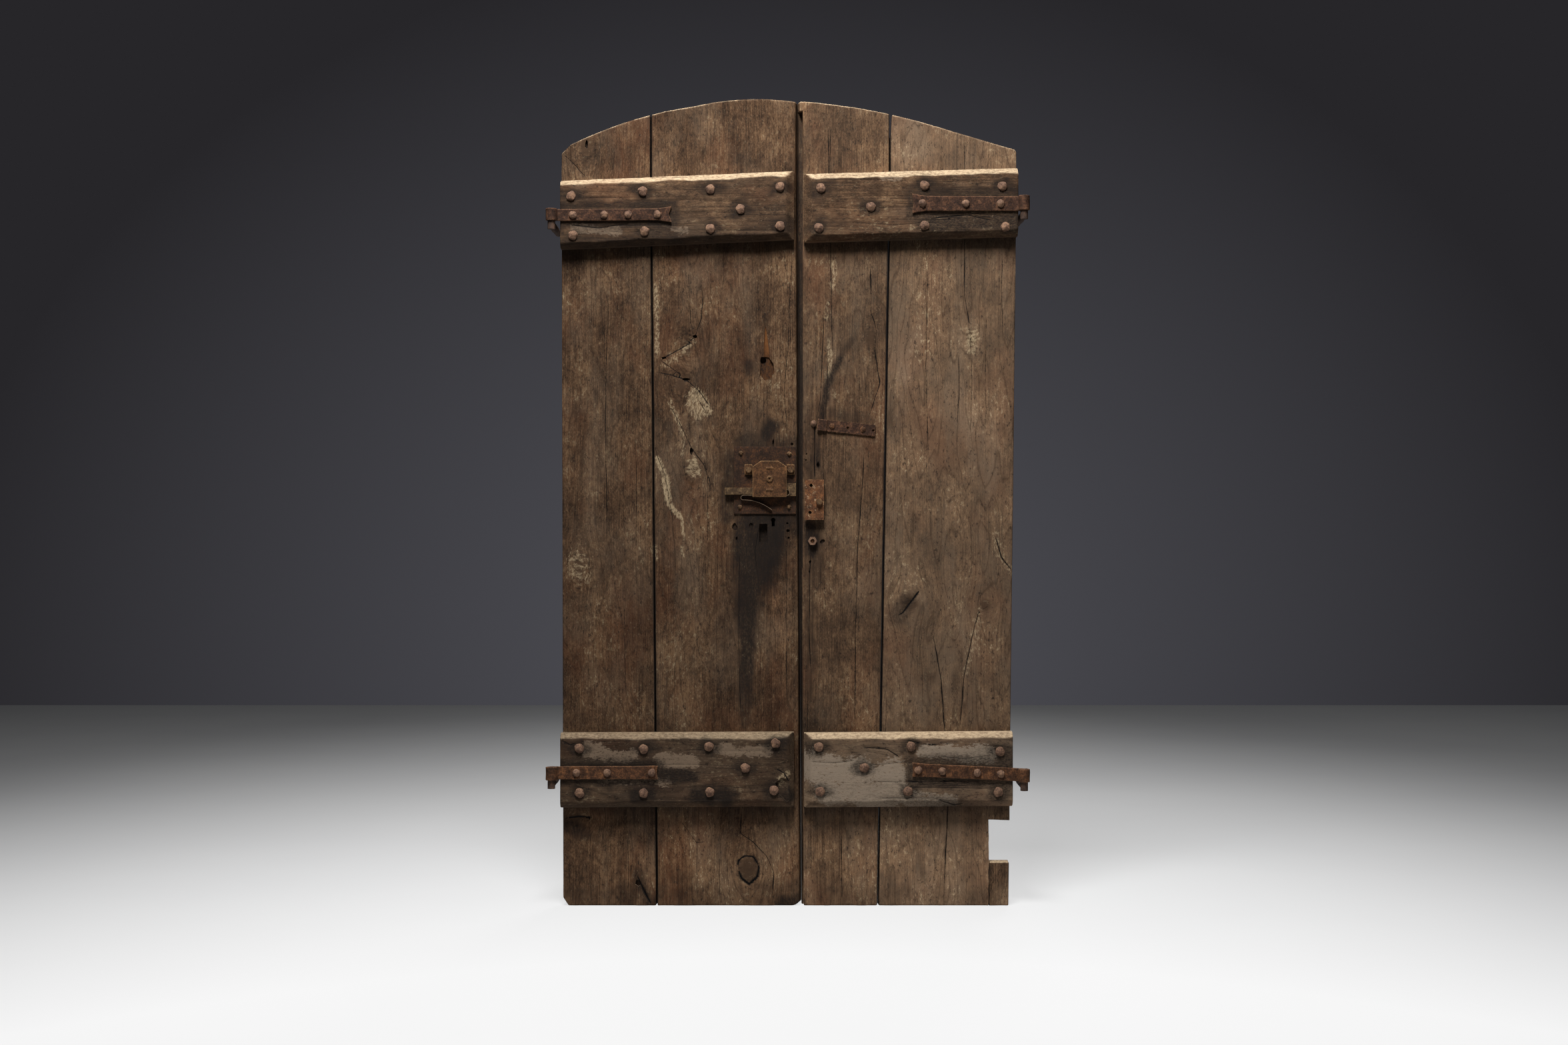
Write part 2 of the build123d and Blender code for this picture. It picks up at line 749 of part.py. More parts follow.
straps = {
    "left_upper": (
        left_hinge_x, left_upper_strap_tip, left_upper_strap_height, left_upper_strap_rise,
        left_upper_strap_width, left_upper_strap_tip_width, left_upper_strap_tip_notch,
        left_upper_strap_nails,
    ),
    "left_lower": (
        left_hinge_x, left_lower_strap_tip, left_lower_strap_height, left_lower_strap_rise,
        left_lower_strap_width, left_lower_strap_tip_width, left_lower_strap_tip_notch,
        left_lower_strap_nails,
    ),
    "right_upper": (
        right_hinge_x, right_upper_strap_tip, right_upper_strap_height, right_upper_strap_rise,
        right_upper_strap_width, right_upper_strap_tip_width, right_upper_strap_tip_notch,
        right_upper_strap_nails,
    ),
    "right_lower": (
        right_hinge_x, right_lower_strap_tip, right_lower_strap_height, right_lower_strap_rise,
        right_lower_strap_width, right_lower_strap_tip_width, right_lower_strap_tip_notch,
        right_lower_strap_nails,
    ),
}
for place_name, (axis, tip, height, rise, width, tip_width, tip_notch, places) in straps.items():
    write(make_strap(axis, tip, height, rise, width, tip_width, tip_notch, places), f"{place_name}_strap")
    write(make_pintle(axis, height, width), f"{place_name}_pintle")

# Rim lock's back plate
with BuildPart() as lock_back_plate:
    with BuildSketch(facing(front_y)):
        with Locations((lock_left, lock_bottom)):
            Rectangle(lock_right - lock_left, lock_top - lock_bottom, align=(Align.MIN, Align.MIN))
        with Locations(*lock_screws):
            Rectangle(lock_screw_shank, lock_screw_shank, mode=Mode.SUBTRACT)
        with Locations(*cover_bolts):
            Circle(cover_bolt_radius, mode=Mode.SUBTRACT)
    extrude(amount=lock_plate_thickness)
write(lock_back_plate, "lock_back_plate")

write(
    make_nails(
        lock_screws, lock_front_y, front_y + lock_screw_length, lock_screw_shank,
        lock_screw_head_radius, lock_screw_head_height, False,
    ),
    "lock_plate_screws",
)

# Rim lock's cover: a pan open at the back and below, with windows for the bolt
cover_x = (cover_left + cover_right) / 2
cover_z = (cover_bottom + cover_top) / 2
cavity_width = cover_right - cover_left - 2 * cover_wall
cavity_height = cover_top - cover_clip_height - cover_wall - cover_bottom
window_depth = bolt_thickness + 2 * bolt_clearance
with BuildPart() as lock_cover:
    with BuildSketch(facing(lock_front_y)):
        with BuildLine():
            Polyline(
                (cover_left, cover_bottom), (cover_right, cover_bottom),
                (cover_right, cover_top - cover_clip_height), (cover_right - cover_clip_width, cover_top),
                (cover_left + cover_clip_width, cover_top), (cover_left, cover_top - cover_clip_height),
                close=True,
            )
        make_face()
    extrude(amount=cover_depth)
    with BuildSketch(facing(lock_front_y)):
        with Locations(*cover_bolts):
            Rectangle(ear_width, ear_height)
            Circle(cover_bolt_radius, mode=Mode.SUBTRACT)
    extrude(amount=ear_thickness)
    with BuildSketch(facing(lock_front_y)):
        with Locations((cover_x, cover_bottom)):
            Rectangle(cavity_width, cavity_height, align=(Align.CENTER, Align.MIN))
    extrude(amount=cover_depth - cover_wall, mode=Mode.SUBTRACT)
    with BuildSketch(facing(lock_front_y)):
        with Locations((cover_x, bolt_head_bottom - bolt_clearance)):
            Rectangle(
                cover_right - cover_left, bolt_head_height + 2 * bolt_clearance, align=(Align.MIN, Align.MIN)
            )
        with Locations((cover_x, bolt_tail_bottom + bolt_tail_height + bolt_clearance)):
            Rectangle(cover_right - cover_left, cover_top - cover_bottom, align=(Align.MAX, Align.MAX))
    extrude(amount=window_depth, mode=Mode.SUBTRACT)
    with BuildSketch(facing(lock_front_y - cover_depth)):
        with Locations((cover_x, cover_z)):
            Circle(boss_radius)
    extrude(amount=boss_height)
    with BuildSketch(facing(lock_front_y - cover_depth)):
        with Locations((cover_x, cover_z + ridge_spacing / 2), (cover_x, cover_z - ridge_spacing / 2)):
            Rectangle(ridge_length, ridge_width)
    extrude(amount=ridge_height)
    with BuildSketch(facing(lock_front_y - cover_depth)):
        with Locations((cover_x, cover_z)):
            Circle(boss_hole_radius)
    extrude(amount=boss_height, mode=Mode.SUBTRACT)
    foot_edges = lock_cover.edges().filter_by(Axis.Y).group_by(Axis.Z)[0]
    outer_foot_edges = [foot_edges.sort_by(Axis.X)[0], foot_edges.sort_by(Axis.X)[-1]]
    chamfer(outer_foot_edges, length=cover_wall / 2)
write(lock_cover, "lock_cover")


def make_hex_bolts(places, seat_y, end_y, radius, head_radius, head_height):
    """Group of bolts with hexagon heads and round shanks."""
    with BuildPart() as bolts:
        with BuildSketch(facing(end_y)):
            with Locations(*places):
                Circle(radius)
        extrude(amount=end_y - seat_y)
        with BuildSketch(facing(seat_y)):
            with Locations(*places):
                RegularPolygon(head_radius, 6)
        extrude(amount=head_height)
    return bolts


write(
    make_hex_bolts(
        cover_bolts, lock_front_y - ear_thickness, front_y + cover_bolt_length,
        cover_bolt_radius, cover_nut_radius, cover_nut_height,
    ),
    "lock_cover_bolts",
)

# Rim lock's sliding bolt, drawn back
with BuildPart() as lock_bolt:
    with BuildSketch(facing(lock_front_y - bolt_clearance)):
        with Locations((bolt_tail_end, bolt_tail_bottom)):
            Rectangle(bolt_step - bolt_tail_end, bolt_tail_height, align=(Align.MIN, Align.MIN))
        with Locations((bolt_step, bolt_head_bottom)):
            Rectangle(lock_right - bolt_step, bolt_head_height, align=(Align.MIN, Align.MIN))
    extrude(amount=bolt_thickness)
write(lock_bolt, "lock_bolt")

# Rim lock's leaf spring: a curled strip slipped down below the cover, and its hooked end at the right
curl_bottom = spring_leg_height - 2 * spring_curl_radius
hook_y = lock_front_y - 2 * bolt_clearance - bolt_thickness
with BuildPart() as lock_spring:
    with BuildSketch(facing(lock_front_y)):
        with BuildLine():
            Line((spring_leg_end, spring_leg_height), (spring_curl_x, spring_leg_height))
            ThreePointArc(
                (spring_curl_x, spring_leg_height),
                (spring_curl_x - spring_curl_radius, spring_leg_height - spring_curl_radius),
                (spring_curl_x, curl_bottom),
            )
            TangentArc(
                (spring_curl_x, curl_bottom), (spring_tip_x, curl_bottom - spring_tip_drop), tangent=(1, 0)
            )
        trace(line_width=spring_thickness)
    extrude(amount=spring_width)
    with BuildSketch(facing(hook_y)):
        with BuildLine():
            ThreePointArc(
                (cover_right, spring_hook_height),
                (cover_right + spring_hook_radius, spring_hook_height + spring_hook_radius),
                (cover_right, spring_hook_height + 2 * spring_hook_radius),
            )
        trace(line_width=spring_thickness)
    extrude(amount=spring_hook_width)
write(lock_spring, "lock_spring")

# Keeper: bent staple open to the left, where the bolt goes in
with BuildPart() as keeper:
    with BuildSketch(facing(front_y)):
        with Locations((keeper_left, keeper_bottom)):
            Rectangle(keeper_width, keeper_height, align=(Align.MIN, Align.MIN))
    extrude(amount=keeper_depth)
    with BuildSketch(facing(front_y)):
        with Locations((keeper_left, keeper_bottom + keeper_sheet)):
            Rectangle(keeper_width, keeper_height - 2 * keeper_sheet, align=(Align.MIN, Align.MIN))
    extrude(amount=keeper_depth - keeper_sheet, mode=Mode.SUBTRACT)
    with BuildSketch(facing(front_y)):
        with Locations(*keeper_holes):
            Circle(keeper_hole_radius)
        with Locations(keeper_bolt_place):
            Circle(keeper_bolt_radius)
    extrude(amount=keeper_depth, mode=Mode.SUBTRACT)
write(keeper, "keeper")

write(
    make_hex_bolts(
        [keeper_bolt_place], front_y - keeper_depth, front_y + keeper_bolt_grip,
        keeper_bolt_radius, keeper_bolt_head_radius, keeper_bolt_head_height,
    ),
    "keeper_bolt",
)

# Bolt through the right leaf, its end sunk in a hexagon nut
with BuildPart() as through_bolt:
    with BuildSketch(facing(rear_y)):
        with Locations((nut_x, nut_height)):
            Circle(stud_radius)
    extrude(amount=leaf_thickness + nut_thickness - stud_recess)
    with BuildSketch(facing(rear_y + stud_head_thickness)):
        with Locations((nut_x, nut_height)):
            Circle(stud_head_radius)
    extrude(amount=stud_head_thickness)
write(through_bolt, "through_bolt")

with BuildPart() as hex_nut:
    with BuildSketch(facing(front_y)):
        with Locations((nut_x, nut_height)):
            RegularPolygon(nut_radius, 6)
            Circle(stud_radius + stud_clearance, mode=Mode.SUBTRACT)
    extrude(amount=nut_thickness)
write(hex_nut, "hex_nut")

# Hasp strap, tilted down to the right, double where it is folded over
hasp_plane = Plane((hasp_left, front_y, hasp_height), x_dir=(1, 0, hasp_slope), z_dir=(0, -1, 0))
with BuildPart() as hasp_strap:
    with BuildSketch(hasp_plane):
        Rectangle(hasp_length, hasp_width, align=(Align.MIN, Align.CENTER))
        with Locations((hasp_hole_share * hasp_length, 0), (hasp_end_hole_share * hasp_length, 0)):
            Circle(hasp_hole_radius, mode=Mode.SUBTRACT)
    extrude(amount=hasp_thickness)
    with BuildSketch(hasp_plane):
        Rectangle(hasp_fold_length, hasp_width, align=(Align.MIN, Align.CENTER))
    extrude(amount=2 * hasp_thickness)
    with BuildSketch(facing(front_y)):
        with Locations(*hasp_nails):
            Rectangle(hasp_nail_shank, hasp_nail_shank)
    extrude(amount=hasp_thickness, mode=Mode.SUBTRACT)
write(hasp_strap, "hasp_strap")

write(
    make_nails(
        hasp_nails, front_y - hasp_thickness, front_y + hasp_nail_length, hasp_nail_shank,
        hasp_nail_head_radius, hasp_nail_head_height, False,
    ),
    "hasp_nails",
)
write(
    make_nails(
        [(knob_x, knob_place_height)], front_y, front_y + hasp_nail_length, hasp_nail_shank,
        knob_radius, knob_height, False,
    ),
    "knob_nail",
)
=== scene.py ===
"""Looks of the arched pair of plank doors, in metres: worn wood, rusted iron, floor, light and camera."""

import math

import bmesh
import bpy
import numpy as np
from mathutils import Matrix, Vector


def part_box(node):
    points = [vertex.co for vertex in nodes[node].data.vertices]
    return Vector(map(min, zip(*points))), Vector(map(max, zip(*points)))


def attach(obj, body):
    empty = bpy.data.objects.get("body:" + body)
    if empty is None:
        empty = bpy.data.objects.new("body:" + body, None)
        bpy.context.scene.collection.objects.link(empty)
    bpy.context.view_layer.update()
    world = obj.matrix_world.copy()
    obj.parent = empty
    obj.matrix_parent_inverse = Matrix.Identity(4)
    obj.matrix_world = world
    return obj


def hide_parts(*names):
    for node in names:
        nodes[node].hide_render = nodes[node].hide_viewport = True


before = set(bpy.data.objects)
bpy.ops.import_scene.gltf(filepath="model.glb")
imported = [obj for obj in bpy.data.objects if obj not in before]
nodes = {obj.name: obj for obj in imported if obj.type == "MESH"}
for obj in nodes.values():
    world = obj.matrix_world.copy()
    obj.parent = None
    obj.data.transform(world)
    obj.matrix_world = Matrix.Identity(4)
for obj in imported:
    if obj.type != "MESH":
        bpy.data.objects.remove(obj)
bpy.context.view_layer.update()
mm_per_metre = 1000

# The photograph's scale on the front face of the planks
metres_per_px = 0.0016
middle_px = 1181.7
floor_px = 1359.0

# Camera
camera_place = (-0.009, -5.018, 0.92)
camera_lens = 47.83
camera_sensor = 36.0

# Depths of the planks, and how far rays and cuts keep off a face
plank_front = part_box("left_inner_plank")[0][1]
plank_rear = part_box("left_inner_plank")[1][1]
skin = 0.0004

# Grids of the boards across, into and along the grain, closer near their edges
plank_steps = (0.0028, 0.005, 0.0075)
batten_steps = (0.0055, 0.006, 0.0032)
grid_rim = 0.008
grid_rim_step = 0.002
sharp_corner_deg = 55.0

# Rays that find the outlines of the boards
side_samples = 48
end_samples = 96
ray_start = 3.0
side_low_share = 0.012
side_high_share = 0.925
end_margin = 0.0015

# Numbers that mix a place into a repeatable noise level
lattice_primes = (374761393, 668265263, 974634533)
lattice_mix = 1274126177
lattice_mask = 0xFFFFFFFF
level_mask = 0xFFFF

# Seeds of the boards, and what each kind of noise adds to them
plank_seeds = {
    "left_outer_plank": 11,
    "left_inner_plank": 23,
    "right_inner_plank": 37,
    "right_outer_plank": 53,
    "right_corner_patch": 71,
}
batten_seeds = {
    "left_upper_batten": 103,
    "left_lower_batten": 127,
    "right_upper_batten": 149,
    "right_lower_batten": 173,
}
chamfer_seed = 5
edge_seed = 40
crack_wander_seed = 50
crack_ragged_seed = 51
grain_seed = 60
mark_seed = 70
keyhole_seed = 81
mortise_seed = 83
notch_seed = 87
tip_stain_seed = 89
foot_dirt_seed = 91
iron_stain_seed = 93
stroke_seeds = (95, 97)
lower_edge_seed = 99
nail_seed = 300
nail_seed_step = 20

# Wear of the boards: worn edges, and relief as a depth for each ripple along x, y and z
edge_radius = 0.0032
edge_radius_spread = 0.0022
edge_ripple = (0.03, 0.03, 0.03)
least_radius = 0.0004
rear_shelter = 0.88
tongue_wear = 0.2
relief_rest = 0.0009
relief_depths = (0.00035, 0.0004, 0.0007)
plank_ripples = ((0.011, 0.03, 0.3), (0.04, 0.05, 0.9), (0.16, 0.2, 0.4))
batten_ripples = ((0.25, 0.03, 0.012), (0.7, 0.05, 0.05), (0.3, 0.2, 0.12))
relief_facing_shares = (0.2, 0.7)

# Cracks: how far they reach, slope and wander, and the small ones along each board
crack_reach = 0.008
crack_slope = 0.0022
crack_wander = 0.0011
crack_wander_ripple = (0.05, 0.05, 0.018)
crack_ragged_ripple = (0.2, 0.2, 0.03)
crack_end_share = 0.12
plank_crack_count = 22
plank_crack_lean = 0.003
batten_crack_count = 12
batten_crack_lean = 0.004
small_crack_lengths = (0.05, 0.32)
small_crack_half_mm = (0.25, 0.7)
small_crack_depth_mm = 1.0

# Marks: how ragged their strokes are, and how the grain runs round the knots
stroke_bend = 0.008
stroke_ripple = (0.03, 0.03, 0.045)
stroke_edge_shares = (0.45, 1.6)
mark_spread = 0.7
mark_ripple = (0.03, 0.03, 0.08)
warm_spread_share = 0.3
grain_wander = 0.006
grain_ripple = (0.6, 0.6, 0.45)
grain_shift = 0.37
knot_pull = 0.8
knot_pull_wide = 2.6
knot_pull_tall = 3.5
knot_reach = 1.25

# Joints between the planks, the tongue at the meeting line, and the lost corner
joint_closing = 0.00085
joint_opening = 0.0008
# Dirt and painted shade along the open joints reach this far
joint_dirt_and_shade_reach = 0.004
meeting_closing = 0.00075
joint_closings = {
    "left_outer_plank": (0.0, joint_closing),
    "left_inner_plank": (joint_closing, meeting_closing),
    "right_outer_plank": (joint_closing, 0.0),
    "right_corner_patch": (3 * joint_closing, 0.0),
}
tongue_front = 0.004
tongue_span = (0.0, 0.0365)
# Painted shade on the recessed tongue at the meeting line: heights, levels there, and how far from its face
tongue_shade_heights = (0.3, 1.0, 1.5, 1.9)
tongue_shade_levels = (1.0, 1.0, 0.9, 0.7)
tongue_shade_reach = 0.0035
shoulder_overlap = 0.003
rebate_margin = 0.024
foot_rise = 0.03
notch_corner = (0.482, 0.206)
notch_room = 0.2
notch_share = 0.13
notch_step = 0.006
notch_roughness = 0.0015

# Old keyhole and mortise, and the room that a cutter has in front of a face
block_ripple = (0.02, 0.02, 0.02)
keyhole_place = (-0.035, 0.926)
keyhole_radius = 0.0055
keyhole_sides = 24
keyhole_slot = (0.0075, 0.015)
keyhole_depth = 0.03
keyhole_roughness = 0.0004
mortise_low = (-0.0686, 0.873)
mortise_high = (-0.0488, 0.917)
mortise_depth = 0.014
mortise_roughness = 0.0009
pit_room = 0.01
sunk_depth = 0.0022
# Painted shade inside the old holes
hole_painted_shade = 0.9
hole_corners = 9
hole_ragged = 0.25

# Chamfers of the battens
long_chamfer = 0.014
end_chamfer = 0.018
chamfer_spread = 0.005
chamfer_ripple = (0.07, 1.0, 1.0)
batten_end_half = 0.01

# Dirt, stains and painted shade: how strong they are, how far they reach and how patchy they are
tip_nodes = [name for name in nodes if name.endswith(("batten_nails", "strap_nails"))]
tip_stain = 0.85
tip_stain_reach = 0.028
tip_stain_tall = 1.5
tip_stain_ripple = (0.02, 0.02, 0.03)
# Painted shadow on the planks under each batten: how dark, and how far down it reaches
batten_painted_shadow = 0.6
batten_shadow_reach = 0.045
foot_dirt = 0.3
foot_dirt_height = 0.16
foot_dirt_ripple = (0.1, 0.1, 0.2)
nail_stain = 0.8
nail_stain_reach = 0.034
nail_stain_wide = 1.4
strap_stain = 0.75
strap_stain_reach = 0.03
iron_stain_ripple = (0.025, 0.025, 0.02)
lower_edge_dark = 0.75
lower_edge_shares = (0.1, 0.55)
lower_edge_ripple = (0.2, 0.1, 0.06)

# Colours of the wood, as levels from 0 to 255, and how little dry surfaces shine
# Black of dirt, also laid as painted shade
dirt_and_shade_black = (25, 20, 17)
# Black painted as the shade inside cracks
crack_shade_black = (9, 7, 6)
bark_pale = (164, 144, 114)
# Pale of dust, also painted as a highlight on upward slopes
dust_and_highlight_pale = (196, 172, 140)
raw_wood = (110, 68, 33)
knot_brown = (66, 49, 35)
flake_brown = (124, 106, 88)
flake_grey = (148, 133, 116)
wood_deep = (42, 29, 19)
wood_middle = (82, 60, 42)
wood_light = (122, 94, 68)
wood_red = (100, 60, 37)
wood_grey = (108, 91, 74)
dry_shine = 0.12

# Noises of the wood: ripples a metre across, into and along the grain, detail and roughness
wood_noises = {
    "clouds": ((9.0, 9.0, 6.0), 6.0, 0.6),
    "mottles": ((60.0, 60.0, 36.0), 5.0, 0.65),
    "warmth": ((7.0, 9.0, 4.0), 4.0, 0.6),
    "weather": ((9.0, 7.0, 3.5), 6.0, 0.65),
    "rings": ((11.0, 11.0, 1.8), 2.0, 0.5),
    "flecks": ((150.0, 150.0, 85.0), 4.0, 0.75),
    "grain_lines": ((520.0, 520.0, 7.0), 3.0, 0.6),
    "specks": ((380.0, 380.0, 190.0), 4.0, 0.7),
    "crumbs": ((230.0, 230.0, 110.0), 6.0, 0.75),
}

# Noises of the iron: ripples a metre along each axis, detail and roughness
iron_noises = {
    "clouds": ((55.0, 55.0, 55.0), 5.0, 0.65),
    "scale": ((260.0, 260.0, 260.0), 5.0, 0.7),
    "pits": ((900.0, 900.0, 900.0), 3.0, 0.6),
    "crust": ((90.0, 90.0, 90.0), 6.0, 0.75),
}
wood_bump = 0.0016
iron_bump = 0.0012

# Irons: dark, brown and bright rust, then where wanted a pale crust and rubbed edges with painted highlights
strap_rub_and_highlight = (142, 104, 76)
lock_rub_and_highlight = (176, 140, 96)
iron_colours = {
    "strap_iron": ((34, 23, 16), (74, 50, 35), (126, 84, 54), None, strap_rub_and_highlight),
    "dark_strap_iron": ((29, 20, 15), (60, 41, 31), (104, 72, 52), None, strap_rub_and_highlight),
    "nail_iron": ((56, 42, 36), (112, 86, 70), (152, 118, 92)),
    "pintle_iron": ((40, 33, 30), (70, 55, 47), (100, 74, 58)),
    "lock_iron": ((36, 24, 15), (78, 53, 34), (122, 84, 53), None, lock_rub_and_highlight),
    "plate_iron": ((28, 20, 15), (54, 38, 28), (92, 60, 38)),
    "bolt_iron": ((40, 31, 23), (80, 62, 44), (130, 106, 75), None, lock_rub_and_highlight),
    "head_iron": ((42, 31, 23), (92, 69, 48), (144, 112, 78)),
    "spring_steel": ((60, 50, 42), (112, 94, 76), (150, 124, 96)),
    "keeper_iron": ((42, 27, 18), (92, 61, 41), (134, 88, 55), (168, 142, 112), lock_rub_and_highlight),
}

# Forged pieces: body, slot, look, fineness of the grid, unevenness and seed
forged_pieces = {
    "left_upper_strap": ("left_leaf", "strap_iron", "dark_strap_iron", 0.0014, 0.0009, 201),
    "left_lower_strap": ("left_leaf", "strap_iron", "strap_iron", 0.0014, 0.0009, 211),
    "right_upper_strap": ("right_leaf", "strap_iron", "dark_strap_iron", 0.0014, 0.0009, 223),
    "right_lower_strap": ("right_leaf", "strap_iron", "strap_iron", 0.0014, 0.0009, 227),
    "hasp_strap": ("right_leaf", "strap_iron", "dark_strap_iron", 0.0011, 0.0007, 229),
    "keeper": ("right_leaf", "keeper_iron", "keeper_iron", 0.0011, 0.0010, 233),
    "lock_back_plate": ("left_leaf", "lock_iron", "plate_iron", 0.0014, 0.0004, 239),
    "lock_cover": ("left_leaf", "lock_iron", "lock_iron", 0.0012, 0.0006, 241),
    "lock_bolt": ("lock_bolt", "lock_iron", "bolt_iron", 0.0012, 0.0004, 251),
}
weld_distance = 1e-5
forged_broad_ripple = (0.018, 0.018, 0.018)
forged_fine_ripple = (0.005, 0.005, 0.005)
forged_fine_seed = 7
forged_broad_share = 0.6
forged_loss_share = 0.6

# Solids that keep their own mesh, with their looks
kept_looks = {
    "lock_plate_screws": "head_iron",
    "lock_cover_bolts": "head_iron",
    "lock_spring": "spring_steel",
    "keeper_bolt": "head_iron",
    "through_bolt": "plate_iron",
    "hex_nut": "nail_iron",
}

# Nails: hammered heads in front, bent tips behind
head_grid = 14
head_layers = 4
head_facets = 6
head_waves = (2, 3, 5)
head_wave_heights = (0.01, 0.05)
head_rim_share = 0.3
head_least_share = 0.24
head_crown_power = 0.75
head_facet_turn = 0.3
head_facet_tilts = (0.45, 0.9)
head_facet_tops = (0.95, 1.1)
head_facet_start = 0.1
head_undercut = 0.12
head_outermost = 0.999
head_sink = 0.001
head_slice = 0.0085
head_rim_reach = 0.9
tip_grid = (5, 4, 14)
tip_taper = 0.6
tip_taper_power = 1.5
tip_fall = 0.65
tip_crown = 0.35
tip_stray = 0.0006

# Floor, background and light
floor_width = 30.0
floor_front = -14.0
floor_far = 5.47
floor_pale = (190, 190, 190)
floor_dim = (182, 182, 183)
floor_ripple = (0.8, 0.8, 0.8)
floor_roughness = 0.75
# The floor's painted glow of light: where it runs from none to full, how it falls off sideways and back, and
# its share
floor_glow_span = (6.4, -0.6)
floor_side_fall = 0.35
floor_fall = 2.2
floor_glow_share = 0.85
wall_near = (79, 79, 85)
wall_far = (39, 38, 41)
wall_glow = (0.0, 1.0, -0.07)
wall_glow_spread = (3.0, 1.0, 3.4)
wall_glow_reach = 1.15
fill_level = 0.03
fill_colour = (0.92, 0.95, 1.0, 1.0)
white = (1.0, 1.0, 1.0, 1.0)
key_lamp = {
    "place": (-0.35, -1.75, 4.3),
    "aim": (0.0, 0.0, 1.35),
    "size": 1.2,
    "spread_deg": 120.0,
    "power": 111.0,
}
back_lamp = {
    "place": (0.9, 3.6, 2.2),
    "aim": (0.0, 0.0, 1.0),
    "size": 1.4,
    "spread_deg": 60.0,
    "power": 15.0,
}

# Marks on the wood, by pixels of the photograph: half width in px, strength from 0 to 1, and route
dark_strokes_px = (
    (12, 0.95, ((1150, 652), (1160, 640))),
    (14, 0.6, ((1120, 664), (1185, 664))),
    (13, 0.7, ((1094, 690), (1094, 775))),
    (7, 0.8, ((1199, 660), (1199, 800))),
    (9, 0.5, ((1213, 690), (1228, 770), (1226, 880))),
    (12, 0.9, ((1216, 790), (1219, 825))),
    (8, 0.45, ((1215, 850), (1215, 1040))),
    (9, 0.55, ((1250, 622), (1300, 630))),
    (9, 0.35, ((1212, 610), (1216, 700))),
    (7, 0.6, ((1123, 546), (1124, 558))),
    (14, 0.6, ((1360, 905), (1345, 925))),
    (20, 0.4, ((850, 1345), (1010, 1350), (1200, 1340))),
    (20, 0.4, ((1240, 1345), (1390, 1350), (1480, 1345))),
    (10, 0.7, ((955, 1312), (977, 1355))),
    (6, 0.9, ((1232, 628), (1237, 598), (1248, 562), (1262, 539))),
    (5, 0.6, ((1262, 539), (1277, 511))),
    (14, 0.85, ((1390, 338), (1515, 335))),
    (16, 0.95, ((1048, 1190), (1088, 1193))),
    (12, 0.9, ((956, 1190), (977, 1190))),
    (10, 0.9, ((995, 1160), (1042, 1164))),
    (9, 0.9, ((1172, 1178), (1182, 1194))),
    (9, 0.75, ((1066, 1120), (1068, 1128))),
    (11, 0.75, ((856, 1240), (882, 1252))),
    (12, 0.85, ((1172, 1352), (1198, 1352))),
    (10, 0.5, ((960, 346), (975, 344))),
    (10, 0.5, ((1163, 338), (1178, 334))),
)

# A narrowing black stain below the lock: centre, half width in px and strength from its top to its tail
stain_px = (
    (1146, 782, 40, 1.0),
    (1142, 815, 38, 1.0),
    (1133, 850, 30, 0.98),
    (1124, 890, 22, 0.95),
    (1120, 930, 17, 0.92),
    (1119, 1000, 12, 0.85),
    (1118, 1085, 8, 0.5),
)
stain_steps = 8
light_strokes_px = (
    (13, 0.8, ((1174, 885), (1168, 950))),
    (10, 0.5, ((1168, 950), (1171, 1040))),
    (14, 0.3, ((1260, 840), (1285, 880))),
    (20, 0.25, ((1292, 1000), (1300, 1075))),
    (30, 0.2, ((1360, 560), (1480, 640))),
    (30, 0.2, ((900, 300), (1000, 260))),
)
pale_strokes_px = (
    (5, 0.75, ((985, 500), (985, 530))),
    (4, 0.65, ((984, 430), (984, 495))),
    (10, 0.8, ((1042, 590), (1055, 605), (1060, 616))),
    (8, 0.7, ((1040, 608), (1050, 622))),
    (5, 0.5, ((1042, 512), (1015, 535), (995, 548))),
    (4, 0.6, ((1003, 600), (1015, 630), (1024, 655), (1022, 682))),
    (9, 0.75, ((1036, 692), (1046, 708))),
    (7, 0.65, ((1034, 706), (1040, 711))),
    (4, 1.0, ((986, 690), (995, 708))),
    (4.5, 1.0, ((997, 715), (1001, 735), (1003, 750))),
    (4, 1.0, ((1004, 757), (1012, 766), (1020, 772))),
    (3, 0.95, ((1022, 775), (1026, 803))),
    (4, 0.8, ((983, 820), (984, 835))),
    (3, 0.8, ((1024, 820), (1025, 835))),
    (4, 0.65, ((1249, 390), (1250, 432))),
    (4, 0.55, ((1241, 452), (1241, 480))),
    (4.5, 0.7, ((1245, 512), (1243, 566))),
    (9, 0.8, ((1457, 495), (1457, 525))),
    (16, 0.5, ((866, 842), (872, 864))),
    (4, 0.9, ((1171, 1164), (1182, 1157))),
    (6, 0.5, ((1493, 804), (1503, 837), (1519, 857))),
    (5, 0.5, ((1470, 915), (1461, 950), (1448, 1010))),
)
flake_strokes_px = (
    (13, 1.0, ((885, 1125), (945, 1134))),
    (11, 1.0, ((990, 1137), (1040, 1141))),
    (9, 0.9, ((1075, 1122), (1150, 1127))),
    (7, 0.8, ((850, 1150), (868, 1165))),
    (8, 0.8, ((905, 1168), (1000, 1170))),
    (26, 1.0, ((1222, 1150), (1330, 1160))),
    (22, 1.0, ((1240, 1185), (1345, 1190))),
    (14, 1.0, ((1385, 1125), (1480, 1132))),
    (12, 0.9, ((1340, 1195), (1425, 1200))),
    (8, 1.0, ((865, 345), (930, 350))),
    (7, 0.9, ((1325, 268), (1360, 261))),
    (5, 0.8, ((1010, 345), (1030, 350))),
)
warm_strokes_px = (
    (5, 0.45, ((1234, 480), (1234, 625))),
    (4, 0.35, ((1228, 645), (1228, 700))),
)

